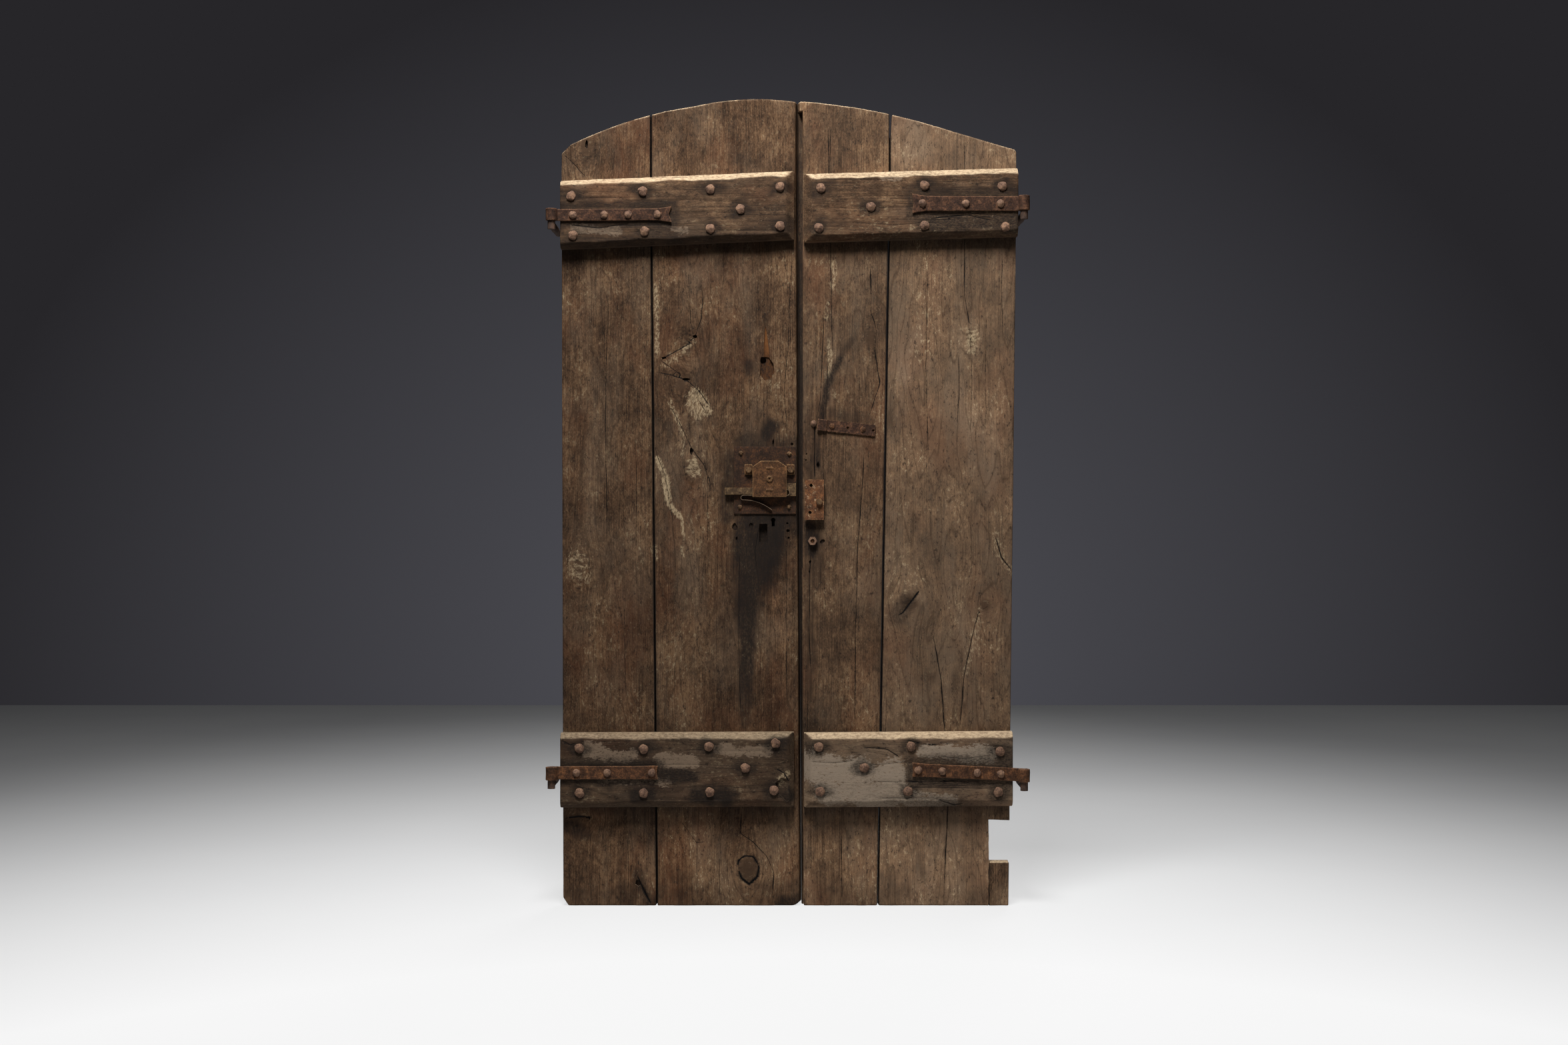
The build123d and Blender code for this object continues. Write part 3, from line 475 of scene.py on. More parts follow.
# Losses as outlines and depths in mm, and old holes as centre, half width, half height and depth in mm
chip_px = ((1148, 488), (1150, 497), (1153, 522), (1155, 540), (1150, 543), (1145.5, 540), (1146, 515))
chip_depth_mm = 4.0
bowl_px = (
    ((1141, 545), (1146, 535), (1153, 536), (1160, 545))
    + ((1162, 558), (1156, 568), (1147, 571), (1140, 562))
)
bowl_depth_mm = 6.5
# Painted shade inside the bowl
bowl_painted_shade = 0.75
slot_px = ((1223, 641), (1233, 641), (1232.5, 675), (1232, 706), (1223, 706), (1222.5, 675))
slot_depth_mm = 2.5
break_px = ((1163, 1173), (1172, 1164), (1180, 1166), (1187, 1178), (1188, 1196), (1180, 1200), (1170, 1190))
break_depth_mm = 6.0
losses_px = {
    "left_lower_batten": ((break_px, break_depth_mm),),
    "left_inner_plank": ((chip_px, chip_depth_mm), (bowl_px, bowl_depth_mm)),
    "right_inner_plank": ((slot_px, slot_depth_mm),),
}
holes_px = {
    "left_outer_plank": (
        (880, 217, 2, 7, 8),
        (957, 1325, 4, 5, 7),
    ),
    "left_inner_plank": (
        (1144, 540, 4.5, 5.5, 14),
        (1160, 664, 1.5, 5, 6),
        (1188, 666, 2, 2, 6),
        (1102, 790, 4, 6, 5),
        (1105, 808, 1.6, 3, 5),
        (1127, 790, 3, 6, 4),
        (1181, 785, 1.7, 1.7, 7),
        (1182, 796, 2.2, 2.5, 9),
        (1183, 807, 1.8, 1.8, 7),
        (1037, 677, 3, 6, 8),
        (1043, 505, 4, 2.5, 8),
        (996, 537, 4, 2, 7),
        (1029, 569, 6, 2, 8),
    ),
    "right_inner_plank": (
        (1227, 697, 2.5, 4, 9),
        (1210, 681, 1.3, 1.3, 6),
        (1209, 690, 1.2, 1.2, 6),
        (1234, 812, 4, 3.5, 4),
        (1215, 843, 1.8, 2, 8),
        (1214, 858, 1.2, 1.2, 6),
    ),
}

# Brightness and greyness of each board
wood_tones = {
    "left_outer_plank": (0.86, 0.0),
    "left_inner_plank": (0.92, 0.0),
    "right_inner_plank": (1.08, 0.1),
    "right_outer_plank": (1.33, 0.3),
    "right_corner_patch": (0.95, 0.1),
    "left_upper_batten": (0.93, 0.1),
    "left_lower_batten": (0.6, 0.25),
    "right_upper_batten": (1.0, 0.05),
    "right_lower_batten": (1.3, 0.5),
}

# Brightness by height: the wood darkens towards its lower part, and a painted glow of light from the floor
# brightens the foot
tone_and_glow_heights = (0.0, 0.15, 0.35, 1.0, 1.45, 1.75, 1.9)
tone_and_glow_shares = (1.5, 1.2, 0.76, 0.9, 0.88, 1.0, 1.02)

# Knots by pixels of the photograph: centre, half width and half height
knots_px = {
    "left_outer_plank": ((880, 218, 11, 14), (868, 852, 9, 14), (866, 1227, 12, 6)),
    "left_inner_plank": ((1030, 522, 10, 12), (1040, 697, 8, 11), (1122, 1305, 14, 18), (1020, 578, 9, 9)),
    "right_inner_plank": ((1306, 508, 7, 12),),
    "right_outer_plank": ((1365, 905, 14, 12), (1457, 508, 7, 12), (1478, 908, 9, 10)),
}

# Cracks by pixels of the photograph: half width in mm, depth in mm, and route
cracks_px = {
    "left_outer_plank": (
        (0.9, 2.5, ((844, 230), (862, 247), (880, 267))),
        (2.4, 5.0, ((846, 1228), (868, 1225), (889, 1227))),
        (2.2, 5.0, ((955, 1312), (965, 1334), (977, 1358))),
        (0.8, 2.0, ((910, 480), (908, 640), (911, 820))),
        (0.6, 2.0, ((936, 900), (938, 1050))),
        (0.8, 2.0, ((880, 1120), (879, 1190))),
    ),
    "left_inner_plank": (
        (1.1, 3.0, ((1055.6, 428), (1052, 478), (1043, 504), (1030, 518), (1012, 528), (989, 541))),
        (0.9, 2.5, ((991, 541), (1011, 555), (1023, 564))),
        (1.3, 3.5, ((983, 558), (1005, 562), (1030, 570), (1050, 588), (1059, 602), (1070, 613))),
        (0.7, 2.0, ((1043, 585), (1048, 600), (1060, 620))),
        (0.9, 2.5, ((1003, 604), (1022, 640), (1037, 672), (1056, 698), (1065, 722), (1066, 755))),
        (0.8, 2.0, ((982.5, 666), (986, 685), (997, 712), (1003, 745), (1009, 780), (1012, 835))),
        (0.8, 2.0, ((1185, 410), (1182, 520), (1176, 590), (1180, 630), (1182, 668))),
        (0.7, 2.0, ((1180, 800), (1179, 930), (1181, 1080))),
        (0.7, 2.0, ((1110, 820), (1108, 960), (1111, 1085))),
        (0.6, 2.0, ((1060, 640), (1062, 820))),
        (1.2, 3.0, ((1113, 1212), (1110, 1250), (1128, 1262), (1150, 1285), (1161, 1310), (1158, 1350))),
        (3.6, 5.0, ((1106, 1302), (1108, 1291), (1117, 1284), (1130, 1285), (1138, 1299))),
        (3.6, 5.0, ((1139, 1296), (1136, 1316), (1124, 1327), (1112, 1318), (1107, 1303))),
        (0.7, 2.0, ((1020, 1230), (1045, 1265), (1060, 1262))),
        (0.8, 2.0, ((1080, 1285), (1079, 1350))),
    ),
    "right_inner_plank": (
        (0.9, 2.0, ((1242, 180), (1246, 380), (1249, 545))),
        (1.0, 2.5, ((1236, 473), (1231, 598), (1225, 629))),
        (0.8, 2.0, ((1242, 540), (1240, 600), (1238, 630))),
        (1.2, 3.0, ((1305.6, 392), (1306.7, 468), (1315, 494), (1312, 525), (1320, 575), (1301, 633))),
        (0.9, 2.5, ((1298, 655), (1293, 740), (1287, 815), (1284, 930), (1282, 1095))),
        (1.2, 3.0, ((1222, 632), (1222, 720))),
        (0.9, 3.0, ((1217, 825), (1215, 860), (1214, 950), (1216, 1010))),
        (0.8, 2.0, ((1262, 1250), (1263, 1355))),
    ),
    "right_outer_plank": (
        (1.1, 2.5, ((1447, 200), (1447, 442), (1453, 479), (1459.5, 529))),
        (0.9, 2.0, ((1438, 529), (1439, 588), (1436, 642))),
        (2.0, 5.0, ((1380, 885), (1354, 920), (1345, 924))),
        (
            1.3,
            3.0,
            ((1384, 939), (1399, 952), (1406, 984), (1412, 1023), (1417, 1093), (1422, 1213), (1415, 1358)),
        ),
        (1.1, 2.5, ((1491, 904), (1468, 919), (1459.5, 952), (1446.5, 1012), (1440, 1093))),
        (1.4, 3.0, ((1493, 804), (1503, 837), (1519, 857))),
        (0.8, 2.0, ((1392, 400), (1389, 560), (1393, 700))),
    ),
    "left_upper_batten": (
        (1.2, 2.5, ((855, 340), (900, 345), (945, 338))),
    ),
    "right_upper_batten": (
        (1.0, 2.0, ((1395, 330), (1450, 325), (1490, 335))),
    ),
    "left_lower_batten": (
        (1.6, 3.0, ((1163, 1150), (1176, 1158), (1184, 1172))),
        (1.3, 2.5, ((1170, 1175), (1184, 1180))),
        (1.0, 2.0, ((843, 1108), (858, 1116), (866, 1112))),
    ),
    "right_lower_batten": (
        (1.2, 2.5, ((1290, 1118), (1330, 1122), (1350, 1135))),
        (1.3, 2.5, ((1355, 1108), (1395, 1116), (1440, 1112))),
        (1.0, 2.0, ((1400, 1195), (1430, 1206), (1445, 1203))),
    ),
}


# Noise and small sums


def lattice(cells, seed):
    """A repeatable number from 0 to 1 for each whole-number place."""
    mixed = (cells @ np.array(lattice_primes) + seed * lattice_mix) & lattice_mask
    mixed = ((mixed ^ (mixed >> 13)) * lattice_mix) & lattice_mask
    return ((mixed ^ (mixed >> 16)) & level_mask) / level_mask


def noise(points, ripple, seed, octaves=2):
    """Smooth noise from -1 to 1 at the points, where ripple gives the length of one swell along each axis."""
    total = np.zeros(len(points))
    strength = 1.0
    reach = 0.0
    for octave in range(octaves):
        places = points / np.array(ripple) * 2.0**octave
        cells = np.floor(places).astype(np.int64)
        part = places - cells
        part = part * part * (3.0 - 2.0 * part)
        level = np.zeros(len(points))
        for corner in np.ndindex(2, 2, 2):
            share = np.prod(np.where(np.array(corner) == 1, part, 1.0 - part), axis=1)
            level += share * lattice(cells + np.array(corner), seed + octave)
        total += strength * (2.0 * level - 1.0)
        reach += strength
        strength /= 2.0
    return total / reach


def smooth(low, high, values):
    """0 below low, 1 above high and a soft step between."""
    share = np.clip((values - low) / (high - low), 0.0, 1.0)
    return share * share * (3.0 - 2.0 * share)


def fade(near, far, distances):
    """1 up to near, 0 beyond far and a soft step between."""
    return 1.0 - smooth(near, far, distances)


def on_door(px, py):
    """The place on the planks' front face, as x and z, that the photograph shows at that pixel."""
    return (px - middle_px) * metres_per_px, (floor_px - py) * metres_per_px


def route_on_door(route_px):
    """A route of pixels as places on the planks' front face."""
    return [on_door(px, py) for px, py in route_px]


def nearest_on(x, z, route):
    """Distance from each place to a bent line, which side it is on, and the share of the length there."""
    best = np.full(len(x), np.inf)
    side = np.zeros(len(x))
    along = np.zeros(len(x))
    lengths = [math.dist(a, b) for a, b in zip(route[:-1], route[1:])]
    passed = 0.0
    for (ax, az), (bx, bz), length in zip(route[:-1], route[1:], lengths):
        share = np.clip(((x - ax) * (bx - ax) + (z - az) * (bz - az)) / length**2, 0.0, 1.0)
        distance = np.hypot(x - ax - share * (bx - ax), z - az - share * (bz - az))
        turn = np.sign((bx - ax) * (z - az) - (bz - az) * (x - ax))
        nearer = distance < best
        best = np.where(nearer, distance, best)
        side = np.where(nearer, turn, side)
        along = np.where(nearer, (passed + share * length) / sum(lengths), along)
        passed += length
    return best, side, along


# Meshes


def new_object(name, data):
    """A named object in the scene."""
    made = bpy.data.objects.new(name, data)
    bpy.context.scene.collection.objects.link(made)
    return made


def new_mesh(name, points, quads):
    """A mesh object from arrays of points and quads."""
    mesh = bpy.data.meshes.new(name)
    mesh.vertices.add(len(points))
    mesh.vertices.foreach_set("co", np.asarray(points, dtype=np.float32).ravel())
    mesh.loops.add(quads.size)
    mesh.loops.foreach_set("vertex_index", quads.ravel().astype(np.int32))
    mesh.polygons.add(len(quads))
    mesh.polygons.foreach_set("loop_start", np.arange(0, quads.size, quads.shape[1], dtype=np.int32))
    mesh.update(calc_edges=True)
    return new_object(name, mesh)


def built_mesh(name, shape):
    """A mesh object from a finished bmesh, which is then freed."""
    mesh = bpy.data.meshes.new(name)
    shape.to_mesh(mesh)
    shape.free()
    return new_object(name, mesh)


def vectors_of(items, field):
    """One vector of each item of a mesh, as an array."""
    values = np.empty(len(items) * 3, dtype=np.float32)
    items.foreach_get(field, values)
    return values.reshape(-1, 3).astype(np.float64)


def points_of(piece):
    """The piece's vertices."""
    return vectors_of(piece.data.vertices, "co")


def normals_of(piece):
    """The piece's outward directions at its vertices."""
    return vectors_of(piece.data.vertex_normals, "vector")


def move_points(piece, points):
    """Puts the piece's vertices at those places."""
    piece.data.vertices.foreach_set("co", points.astype(np.float32).ravel())
    piece.data.update()


def add_attribute(piece, name, kind, field, values):
    """Keeps one value for each vertex under that name."""
    made = piece.data.attributes.new(name, kind, "POINT")
    made.data.foreach_set(field, np.asarray(values, dtype=np.float32).ravel())


def apply_modifier(piece, kind, **settings):
    """Changes the piece's mesh for good by one modifier."""
    change = piece.modifiers.new("change", kind)
    for name, value in settings.items():
        setattr(change, name, value)
    graph = bpy.context.evaluated_depsgraph_get()
    mesh = bpy.data.meshes.new_from_object(piece.evaluated_get(graph))
    piece.modifiers.clear()
    piece.data = mesh


def cut(piece, cutter):
    """Takes the cutter's shape out of the piece and removes the cutter."""
    apply_modifier(piece, "BOOLEAN", operation="DIFFERENCE", solver="MANIFOLD", object=cutter)
    bpy.data.objects.remove(cutter)


def graded(length, step):
    """Places along one side of a board, closer together near both ends."""
    reach = min(grid_rim, length / 3)
    rim = np.linspace(0.0, reach, round(reach / grid_rim_step), endpoint=False)
    count = max(2, round((length - 2.0 * reach) / step) + 1)
    return np.concatenate([rim, np.linspace(reach, length - reach, count), length - rim[::-1]])


def board_surface(sides):
    """Points and quads of a closed sharp-edged board with grid lines at those places along its sides."""
    counts = [len(side) for side in sides]
    quads = []
    for axis in range(3):
        first = (axis + 1) % 3
        second = (axis + 2) % 3
        i, j = np.meshgrid(np.arange(counts[first] - 1), np.arange(counts[second] - 1), indexing="ij")
        for end in (0, counts[axis] - 1):
            quad = np.zeros(i.shape + (4, 3), dtype=np.int64)
            quad[..., axis] = end
            for corner, (right, up) in enumerate(((0, 0), (1, 0), (1, 1), (0, 1))):
                quad[..., corner, first] = i + right
                quad[..., corner, second] = j + up
            quad = quad.reshape(-1, 4, 3)
            quads.append(quad if end else quad[:, ::-1])
    quads = np.concatenate(quads)
    keys = np.ravel_multi_index(tuple(np.moveaxis(quads, -1, 0)), counts)
    kept, order = np.unique(keys, return_inverse=True)
    places = np.unravel_index(kept, counts)
    points = np.stack([side[place] for side, place in zip(sides, places)], axis=1)
    return points, order.reshape(-1, 4)


def wear_edges(points, sizes, radius):
    """Moves a sharp board's points onto rounded edges."""
    radius = radius[:, None]
    inner = np.clip(points, radius, np.array(sizes) - radius)
    out = points - inner
    length = np.sqrt((out**2).sum(axis=1, keepdims=True))
    return inner + out * radius / np.maximum(length, 1e-9)


def hits(node, starts, direction):
    """Where straight lines from the starts first meet a node's surface."""
    found = []
    for start in starts:
        hit, place, _, _ = nodes[node].ray_cast(start, direction)
        found.append(tuple(place) if hit else (math.nan, math.nan, math.nan))
    return np.array(found)


def join_shells(shells):
    """Several closed shells as one set of points and quads."""
    points = np.concatenate([shell[0] for shell in shells])
    starts = np.cumsum([0] + [len(shell[0]) for shell in shells[:-1]])
    quads = np.concatenate([shell[1] + start for shell, start in zip(shells, starts)])
    return points, quads


def welded(node):
    """A node's mesh with its split corners joined again, to build on."""
    shape = bmesh.new()
    shape.from_mesh(nodes[node].data)
    bmesh.ops.remove_doubles(shape, verts=shape.verts, dist=weld_distance)
    return shape


def solids_of(node):
    """The corner points of each separate solid in a node."""
    shape = welded(node)
    seen = set()
    solids = []
    for first in shape.verts:
        if first in seen:
            continue
        seen.add(first)
        waiting = [first]
        members = []
        while waiting:
            point = waiting.pop()
            members.append(tuple(point.co))
            for edge in point.link_edges:
                other = edge.other_vert(point)
                if other not in seen:
                    seen.add(other)
                    waiting.append(other)
        solids.append(np.array(members))
    shape.free()
    return solids


# Cracks and marks


def large_cracks(node):
    """The board's large cracks as half width, depth, route and the side it is seen on: -1 front, 1 rear."""
    return [
        (half_mm / mm_per_metre, depth_mm / mm_per_metre, route_on_door(route_px), -1)
        for half_mm, depth_mm, route_px in cracks_px.get(node, ())
    ]


def plank_cracks(node, seed):
    """The plank's large cracks, and small ones along it on both faces."""
    cracks = large_cracks(node)
    low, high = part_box(node)
    draw = np.random.default_rng(seed)
    for number in range(plank_crack_count):
        x = draw.uniform(low[0], high[0])
        length = min(draw.uniform(*small_crack_lengths), (high[2] - low[2]) / 2)
        start = draw.uniform(low[2], high[2] - length)
        lean = draw.normal(0.0, plank_crack_lean)
        half = draw.uniform(*small_crack_half_mm) / mm_per_metre
        route = [(x, start), (x + lean, start + length / 2), (x - lean / 2, start + length)]
        cracks.append((half, small_crack_depth_mm / mm_per_metre, route, -1 if number % 2 else 1))
    return cracks


def batten_cracks(node, seed):
    """The batten's large cracks, and small ones along it on its front."""
    cracks = large_cracks(node)
    low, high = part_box(node)
    draw = np.random.default_rng(seed)
    for _ in range(batten_crack_count):
        length = draw.uniform(*small_crack_lengths)
        start = draw.uniform(low[0], high[0] - length)
        z = draw.uniform(low[2] + long_chamfer, high[2] - long_chamfer)
        lean = draw.normal(0.0, batten_crack_lean)
        half = draw.uniform(*small_crack_half_mm) / mm_per_metre
        route = [(start, z), (start + length / 2, z + lean), (start + length, z - lean / 2)]
        cracks.append((half, small_crack_depth_mm / mm_per_metre, route, -1))
    return cracks


def crack_fields(points, cracks, seed):
    """For each point: distance to the nearest crack, its half width there, and how deep it has opened."""
    x, y, z = points.T
    wander = crack_wander * noise(points, crack_wander_ripple, seed + crack_wander_seed)
    ragged = 0.75 + 0.5 * noise(points, crack_ragged_ripple, seed + crack_ragged_seed)
    nearest = np.ones(len(points))
    half_width = np.zeros(len(points))
    depth = np.zeros(len(points))
    for half, deep, route, face in cracks:
        distance, turn, along = nearest_on(x, z, route)
        side = distance * turn + wander
        strength = smooth(0.0, crack_end_share, along) * smooth(0.0, crack_end_share, 1.0 - along)
        strength = strength * ragged * (y * face > 0) * fade(crack_reach / 2, crack_reach, np.abs(side))
        nearer = (strength > 0) & (np.abs(side) < np.abs(nearest))
        nearest = np.where(nearer, side, nearest)
        half_width = np.where(nearer, half * strength, half_width)
        depth = np.maximum(depth, deep * strength * np.exp(-((side / crack_slope) ** 2)))
    return nearest, half_width, depth


def stroke_field(points, strokes_px, grow):
    """How strongly the strokes mark each point of the front face."""
    x, y, z = points.T
    x = x + stroke_bend * noise(points, stroke_ripple, stroke_seeds[0], 3)
    z = z + stroke_bend * noise(points, stroke_ripple, stroke_seeds[1], 3)
    near_share, far_share = stroke_edge_shares
    level = np.zeros(len(points))
    for half_px, strength, route_px in strokes_px:
        half = half_px * metres_per_px
        distance = nearest_on(x, z, route_on_door(route_px))[0] + grow * half
        level = np.maximum(level, strength * fade(near_share * half, far_share * half, distance))
    return level * (y < 0)


def stain_strokes():
    """The narrowing stain as many short strokes."""
    strokes = []
    for first, second in zip(stain_px[:-1], stain_px[1:]):
        places = np.linspace(first, second, stain_steps)
        for (px, py, half_px, strength), (next_px, next_py, _, _) in zip(places[:-1], places[1:]):
            strokes.append((half_px, strength, ((px, py), (next_px, next_py))))
    return strokes


def grain_field(points, node, seed, along):
    """Wood coordinates across, into and along the grain, bent round the knots, and how near a knot is."""
    x, y, z = points.T
    across, run = (x, z) if along == "z" else (z, x)
    across = across + grain_wander * noise(points, grain_ripple, seed + grain_seed)
    knot = np.zeros(len(points))
    for px, py, half_px, tall_px in knots_px.get(node, ()):
        knot_x, knot_z = on_door(px, py)
        wide = (x - knot_x) / (half_px * metres_per_px)
        tall = (z - knot_z) / (tall_px * metres_per_px)
        pull = np.exp(-((wide / knot_pull_wide) ** 2) - (tall / knot_pull_tall) ** 2)
        across = across - knot_pull * (x - knot_x) * pull
        knot = np.maximum(knot, 1.0 - np.hypot(wide, tall) / knot_reach)
    return np.stack([across + grain_shift * seed, y, run], axis=1), np.clip(knot, 0.0, 1.0)


def hole_outline(px, py, half_px, tall_px):
    """A ragged outline of a hole by pixels."""
    draw = np.random.default_rng(round(px + py))
    angles = np.linspace(0.0, 2.0 * math.pi, hole_corners, endpoint=False)
    reach = 1.0 + hole_ragged * draw.uniform(-1.0, 1.0, hole_corners)
    return [(px + half_px * r * math.cos(a), py + tall_px * r * math.sin(a)) for a, r in zip(angles, reach)]


def sunk_in(points, outline_px):
    """1 at points below the front face within the box round an outline, else 0."""
    outline = np.array(route_on_door(outline_px))
    low = outline.min(axis=0) - skin
    high = outline.max(axis=0) + skin
    within = (points[:, [0, 2]] > low).all(axis=1) & (points[:, [0, 2]] < high).all(axis=1)
    return (within & (points[:, 1] > plank_front + sunk_depth) & (points[:, 1] < 0)).astype(float)


def dress_wood(piece, node, seed, along, cracks, darkening):
    """Keeps the wood's grain, cracks and marks on the vertices for the wood material, with painted shade in
    pits, holes and joints, on the tongue and under the battens among the dark marks.
    """
    points = points_of(piece)
    grain, knot = grain_field(points, node, seed, along)
    side, half_width, _ = crack_fields(points, cracks, seed)
    grow = mark_spread * noise(points, mark_ripple, seed + mark_seed, 3)
    bowl = sunk_in(points, bowl_px)
    dark = np.maximum(stroke_field(points, [*dark_strokes_px, *stain_strokes()], grow), darkening(points))
    # Painted shade inside the bowl and the old holes
    dark = np.maximum(dark, bowl_painted_shade * bowl)
    for hole in holes_px.get(node, ()):
        dark = np.maximum(dark, hole_painted_shade * sunk_in(points, hole_outline(*hole[:4])))
    raw = np.maximum(bowl, sunk_in(points, chip_px))
    tone, grey = wood_tones[node]
    # Brightness by board and height, with the painted glow of floor light at the foot
    tone = tone * np.interp(points[:, 2], tone_and_glow_heights, tone_and_glow_shares)
    flake_strokes = flake_strokes_px if node.endswith("batten") else ()
    levels = {
        "tone": tone * (1.0 + stroke_field(points, light_strokes_px, grow)),
        "grey": np.full(len(points), grey),
        "crack_side": side * mm_per_metre,
        "crack_half": half_width * mm_per_metre,
        "knot": knot,
        "dark": dark,
        "pale": stroke_field(points, pale_strokes_px, grow),
        "warm": np.maximum(stroke_field(points, warm_strokes_px, warm_spread_share * grow), raw),
        "flake": stroke_field(points, flake_strokes, grow),
    }
    add_attribute(piece, "grain", "FLOAT_VECTOR", "vector", grain)
    for name, values in levels.items():
        add_attribute(piece, name, "FLOAT", "value", values)


def roughen(piece, seed, cracks, ripples):
    """Gives a board its worn relief: ripples along the grain, broad swells, opened cracks and knots."""
    points = points_of(piece)
    sink = np.full(len(points), relief_rest)
    for number, (depth, ripple) in enumerate(zip(relief_depths, ripples), 1):
        sink += depth * noise(points, ripple, seed + number)
    sink = np.maximum(sink, 0.0) + crack_fields(points, cracks, seed)[2]
    directions = normals_of(piece)
    sink = sink * smooth(*relief_facing_shares, np.abs(directions[:, 1]))
    move_points(piece, points - directions * sink[:, None])


# Boards


def side_line(node, side, depth, low, high):
    """Heights, and where the board's left (-1) or right (1) side is at each of them, at that depth."""
    heights = np.linspace(low, high, side_samples)
    places = hits(node, [(side * ray_start, depth, z) for z in heights], (-side, 0.0, 0.0))[:, 0]
    found = np.isfinite(places)
    return heights[found], places[found]


def end_line(node, end, depth, left, right):
    """Places across, and where the board's foot (-1) or top (1) is at each of them, at that depth."""
    across = np.linspace(left, right, end_samples)
    places = hits(node, [(x, depth, end * ray_start) for x in across], (0.0, 0.0, -end))[:, 2]
    found = np.isfinite(places)
    return across[found], places[found]


def batten_end_line(node, end):
    """The foot (-1) or top (1) line of a batten, close to its rear face."""
    low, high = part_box(node)
    return end_line(node, end, high[1] - skin, low[0] + skin, high[0] - skin)


def board_lines(node, right_low_share=side_low_share):
    """The board's side lines at its front and rear face, and its foot and top lines."""
    low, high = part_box(node)
    tall = high[2] - low[2]
    depths = (low[1] + skin, high[1] - skin)
    side_top = low[2] + side_high_share * tall
    left = [side_line(node, -1, depth, low[2] + side_low_share * tall, side_top) for depth in depths]
    right = [side_line(node, 1, depth, low[2] + right_low_share * tall, side_top) for depth in depths]
    middle = (low[1] + high[1]) / 2
    foot = end_line(node, -1, middle, left[0][1][0] + end_margin, right[0][1][0] - end_margin)
    top = end_line(node, 1, middle, left[0][1][-1] + end_margin, right[0][1][-1] - end_margin)
    return left, right, foot, top


def board_shell(left, right, foot, top, front, rear, seed, steps, wear=1.0):
    """Points and quads of one board between its side and end lines, with edges worn most at the front."""
    width = right[0][1].mean() - left[0][1].mean()
    low = foot[1].min()
    sizes = (width, rear - front, top[1].max() - low)
    points, quads = board_surface([graded(size, step) for size, step in zip(sizes, steps)])
    radius = edge_radius + edge_radius_spread * noise(points, edge_ripple, seed + edge_seed, 3)
    radius = radius * wear * (1.0 - rear_shelter * points[:, 1] / sizes[1])
    points = wear_edges(points, sizes, np.clip(radius, least_radius, None))
    u, v, w = (points / np.array(sizes)).T
    level = low + w * sizes[2]
    x_left = (1 - v) * np.interp(level, *left[0]) + v * np.interp(level, *left[1])
    x_right = (1 - v) * np.interp(level, *right[0]) + v * np.interp(level, *right[1])
    x = x_left + u * (x_right - x_left)
    z_low = np.interp(x, *foot)
    z = z_low + w * (np.interp(x, *top) - z_low)
    return np.stack([x, front + v * (rear - front), z], axis=1), quads


def rough_block(low, high, step, roughness, seed):
    """A block between two corners with uneven faces, to cut with."""
    low = np.array(low)
    sizes = np.array(high) - low
    sides = [np.linspace(0.0, size, max(2, round(size / step) + 1)) for size in sizes]
    points, quads = board_surface(sides)
    points = points + low
    shifts = [noise(points, block_ripple, seed + axis) for axis in range(3)]
    return new_mesh("cutter", points + roughness * np.stack(shifts, axis=1), quads)


def pits(outlines_px, depths_mm, face):
    """Straight-sided pits in a front face at that depth, as one shape to cut with."""
    shape = bmesh.new()
    for outline_px, depth_mm in zip(outlines_px, depths_mm):
        rims = []
        for depth in (face - pit_room, face + depth_mm / mm_per_metre):
            rims.append([shape.verts.new((x, depth, z)) for x, z in route_on_door(outline_px)])
        shape.faces.new(rims[0])
        shape.faces.new(rims[1][::-1])
        for number in range(len(outline_px)):
            after = (number + 1) % len(outline_px)
            shape.faces.new((rims[0][number], rims[1][number], rims[1][after], rims[0][after]))
    bmesh.ops.recalc_face_normals(shape, faces=shape.faces)
    return built_mesh("cutter", shape)


def cut_losses(piece, node, face):
    """Opens the places where a board's front face has broken away."""
    for outline_px, depth_mm in losses_px.get(node, ()):
        cut(piece, pits([outline_px], [depth_mm], face))


def cut_old_holes(piece, node):
    """Opens the small old holes in a plank."""
    holes = holes_px[node]
    cut(piece, pits([hole_outline(*hole[:4]) for hole in holes], [hole[4] for hole in holes], plank_front))


def cut_keyhole_and_mortise(piece):
    """Opens the old keyhole and the old mortise below the lock."""
    x, z = keyhole_place
    bpy.ops.mesh.primitive_cylinder_add(
        vertices=keyhole_sides,
        radius=keyhole_radius,
        depth=2 * keyhole_depth,
        location=(x, plank_front, z),
        rotation=(math.pi / 2, 0, 0),
    )
    cut(piece, bpy.context.object)
    half = keyhole_slot[0] / 2
    low = (x - half, plank_front - keyhole_depth, z - keyhole_slot[1])
    high = (x + half, plank_front + keyhole_depth, z)
    cut(piece, rough_block(low, high, half, keyhole_roughness, keyhole_seed))
    low = (mortise_low[0], plank_front - mortise_depth, mortise_low[1])
    high = (mortise_high[0], plank_front + mortise_depth, mortise_high[1])
    cut(piece, rough_block(low, high, mortise_depth / 3, mortise_roughness, mortise_seed))


def cut_lost_corner(piece):
    """Opens the lost lower corner of the right outer plank."""
    x, z = notch_corner
    low = (x, -notch_room, -notch_room)
    high = (x + notch_room, notch_room, z)
    cut(piece, rough_block(low, high, notch_step, notch_roughness, notch_seed))


def joint_dirt_and_shade(points, joints):
    """Black in the joints beside a plank: dirt, and painted shade in the open gap."""
    level = np.zeros(len(points))
    for line in joints:
        away = np.abs(points[:, 0] - np.interp(points[:, 2], *line))
        level = np.maximum(level, fade(joint_dirt_and_shade_reach / 3, joint_dirt_and_shade_reach, away))
    return level


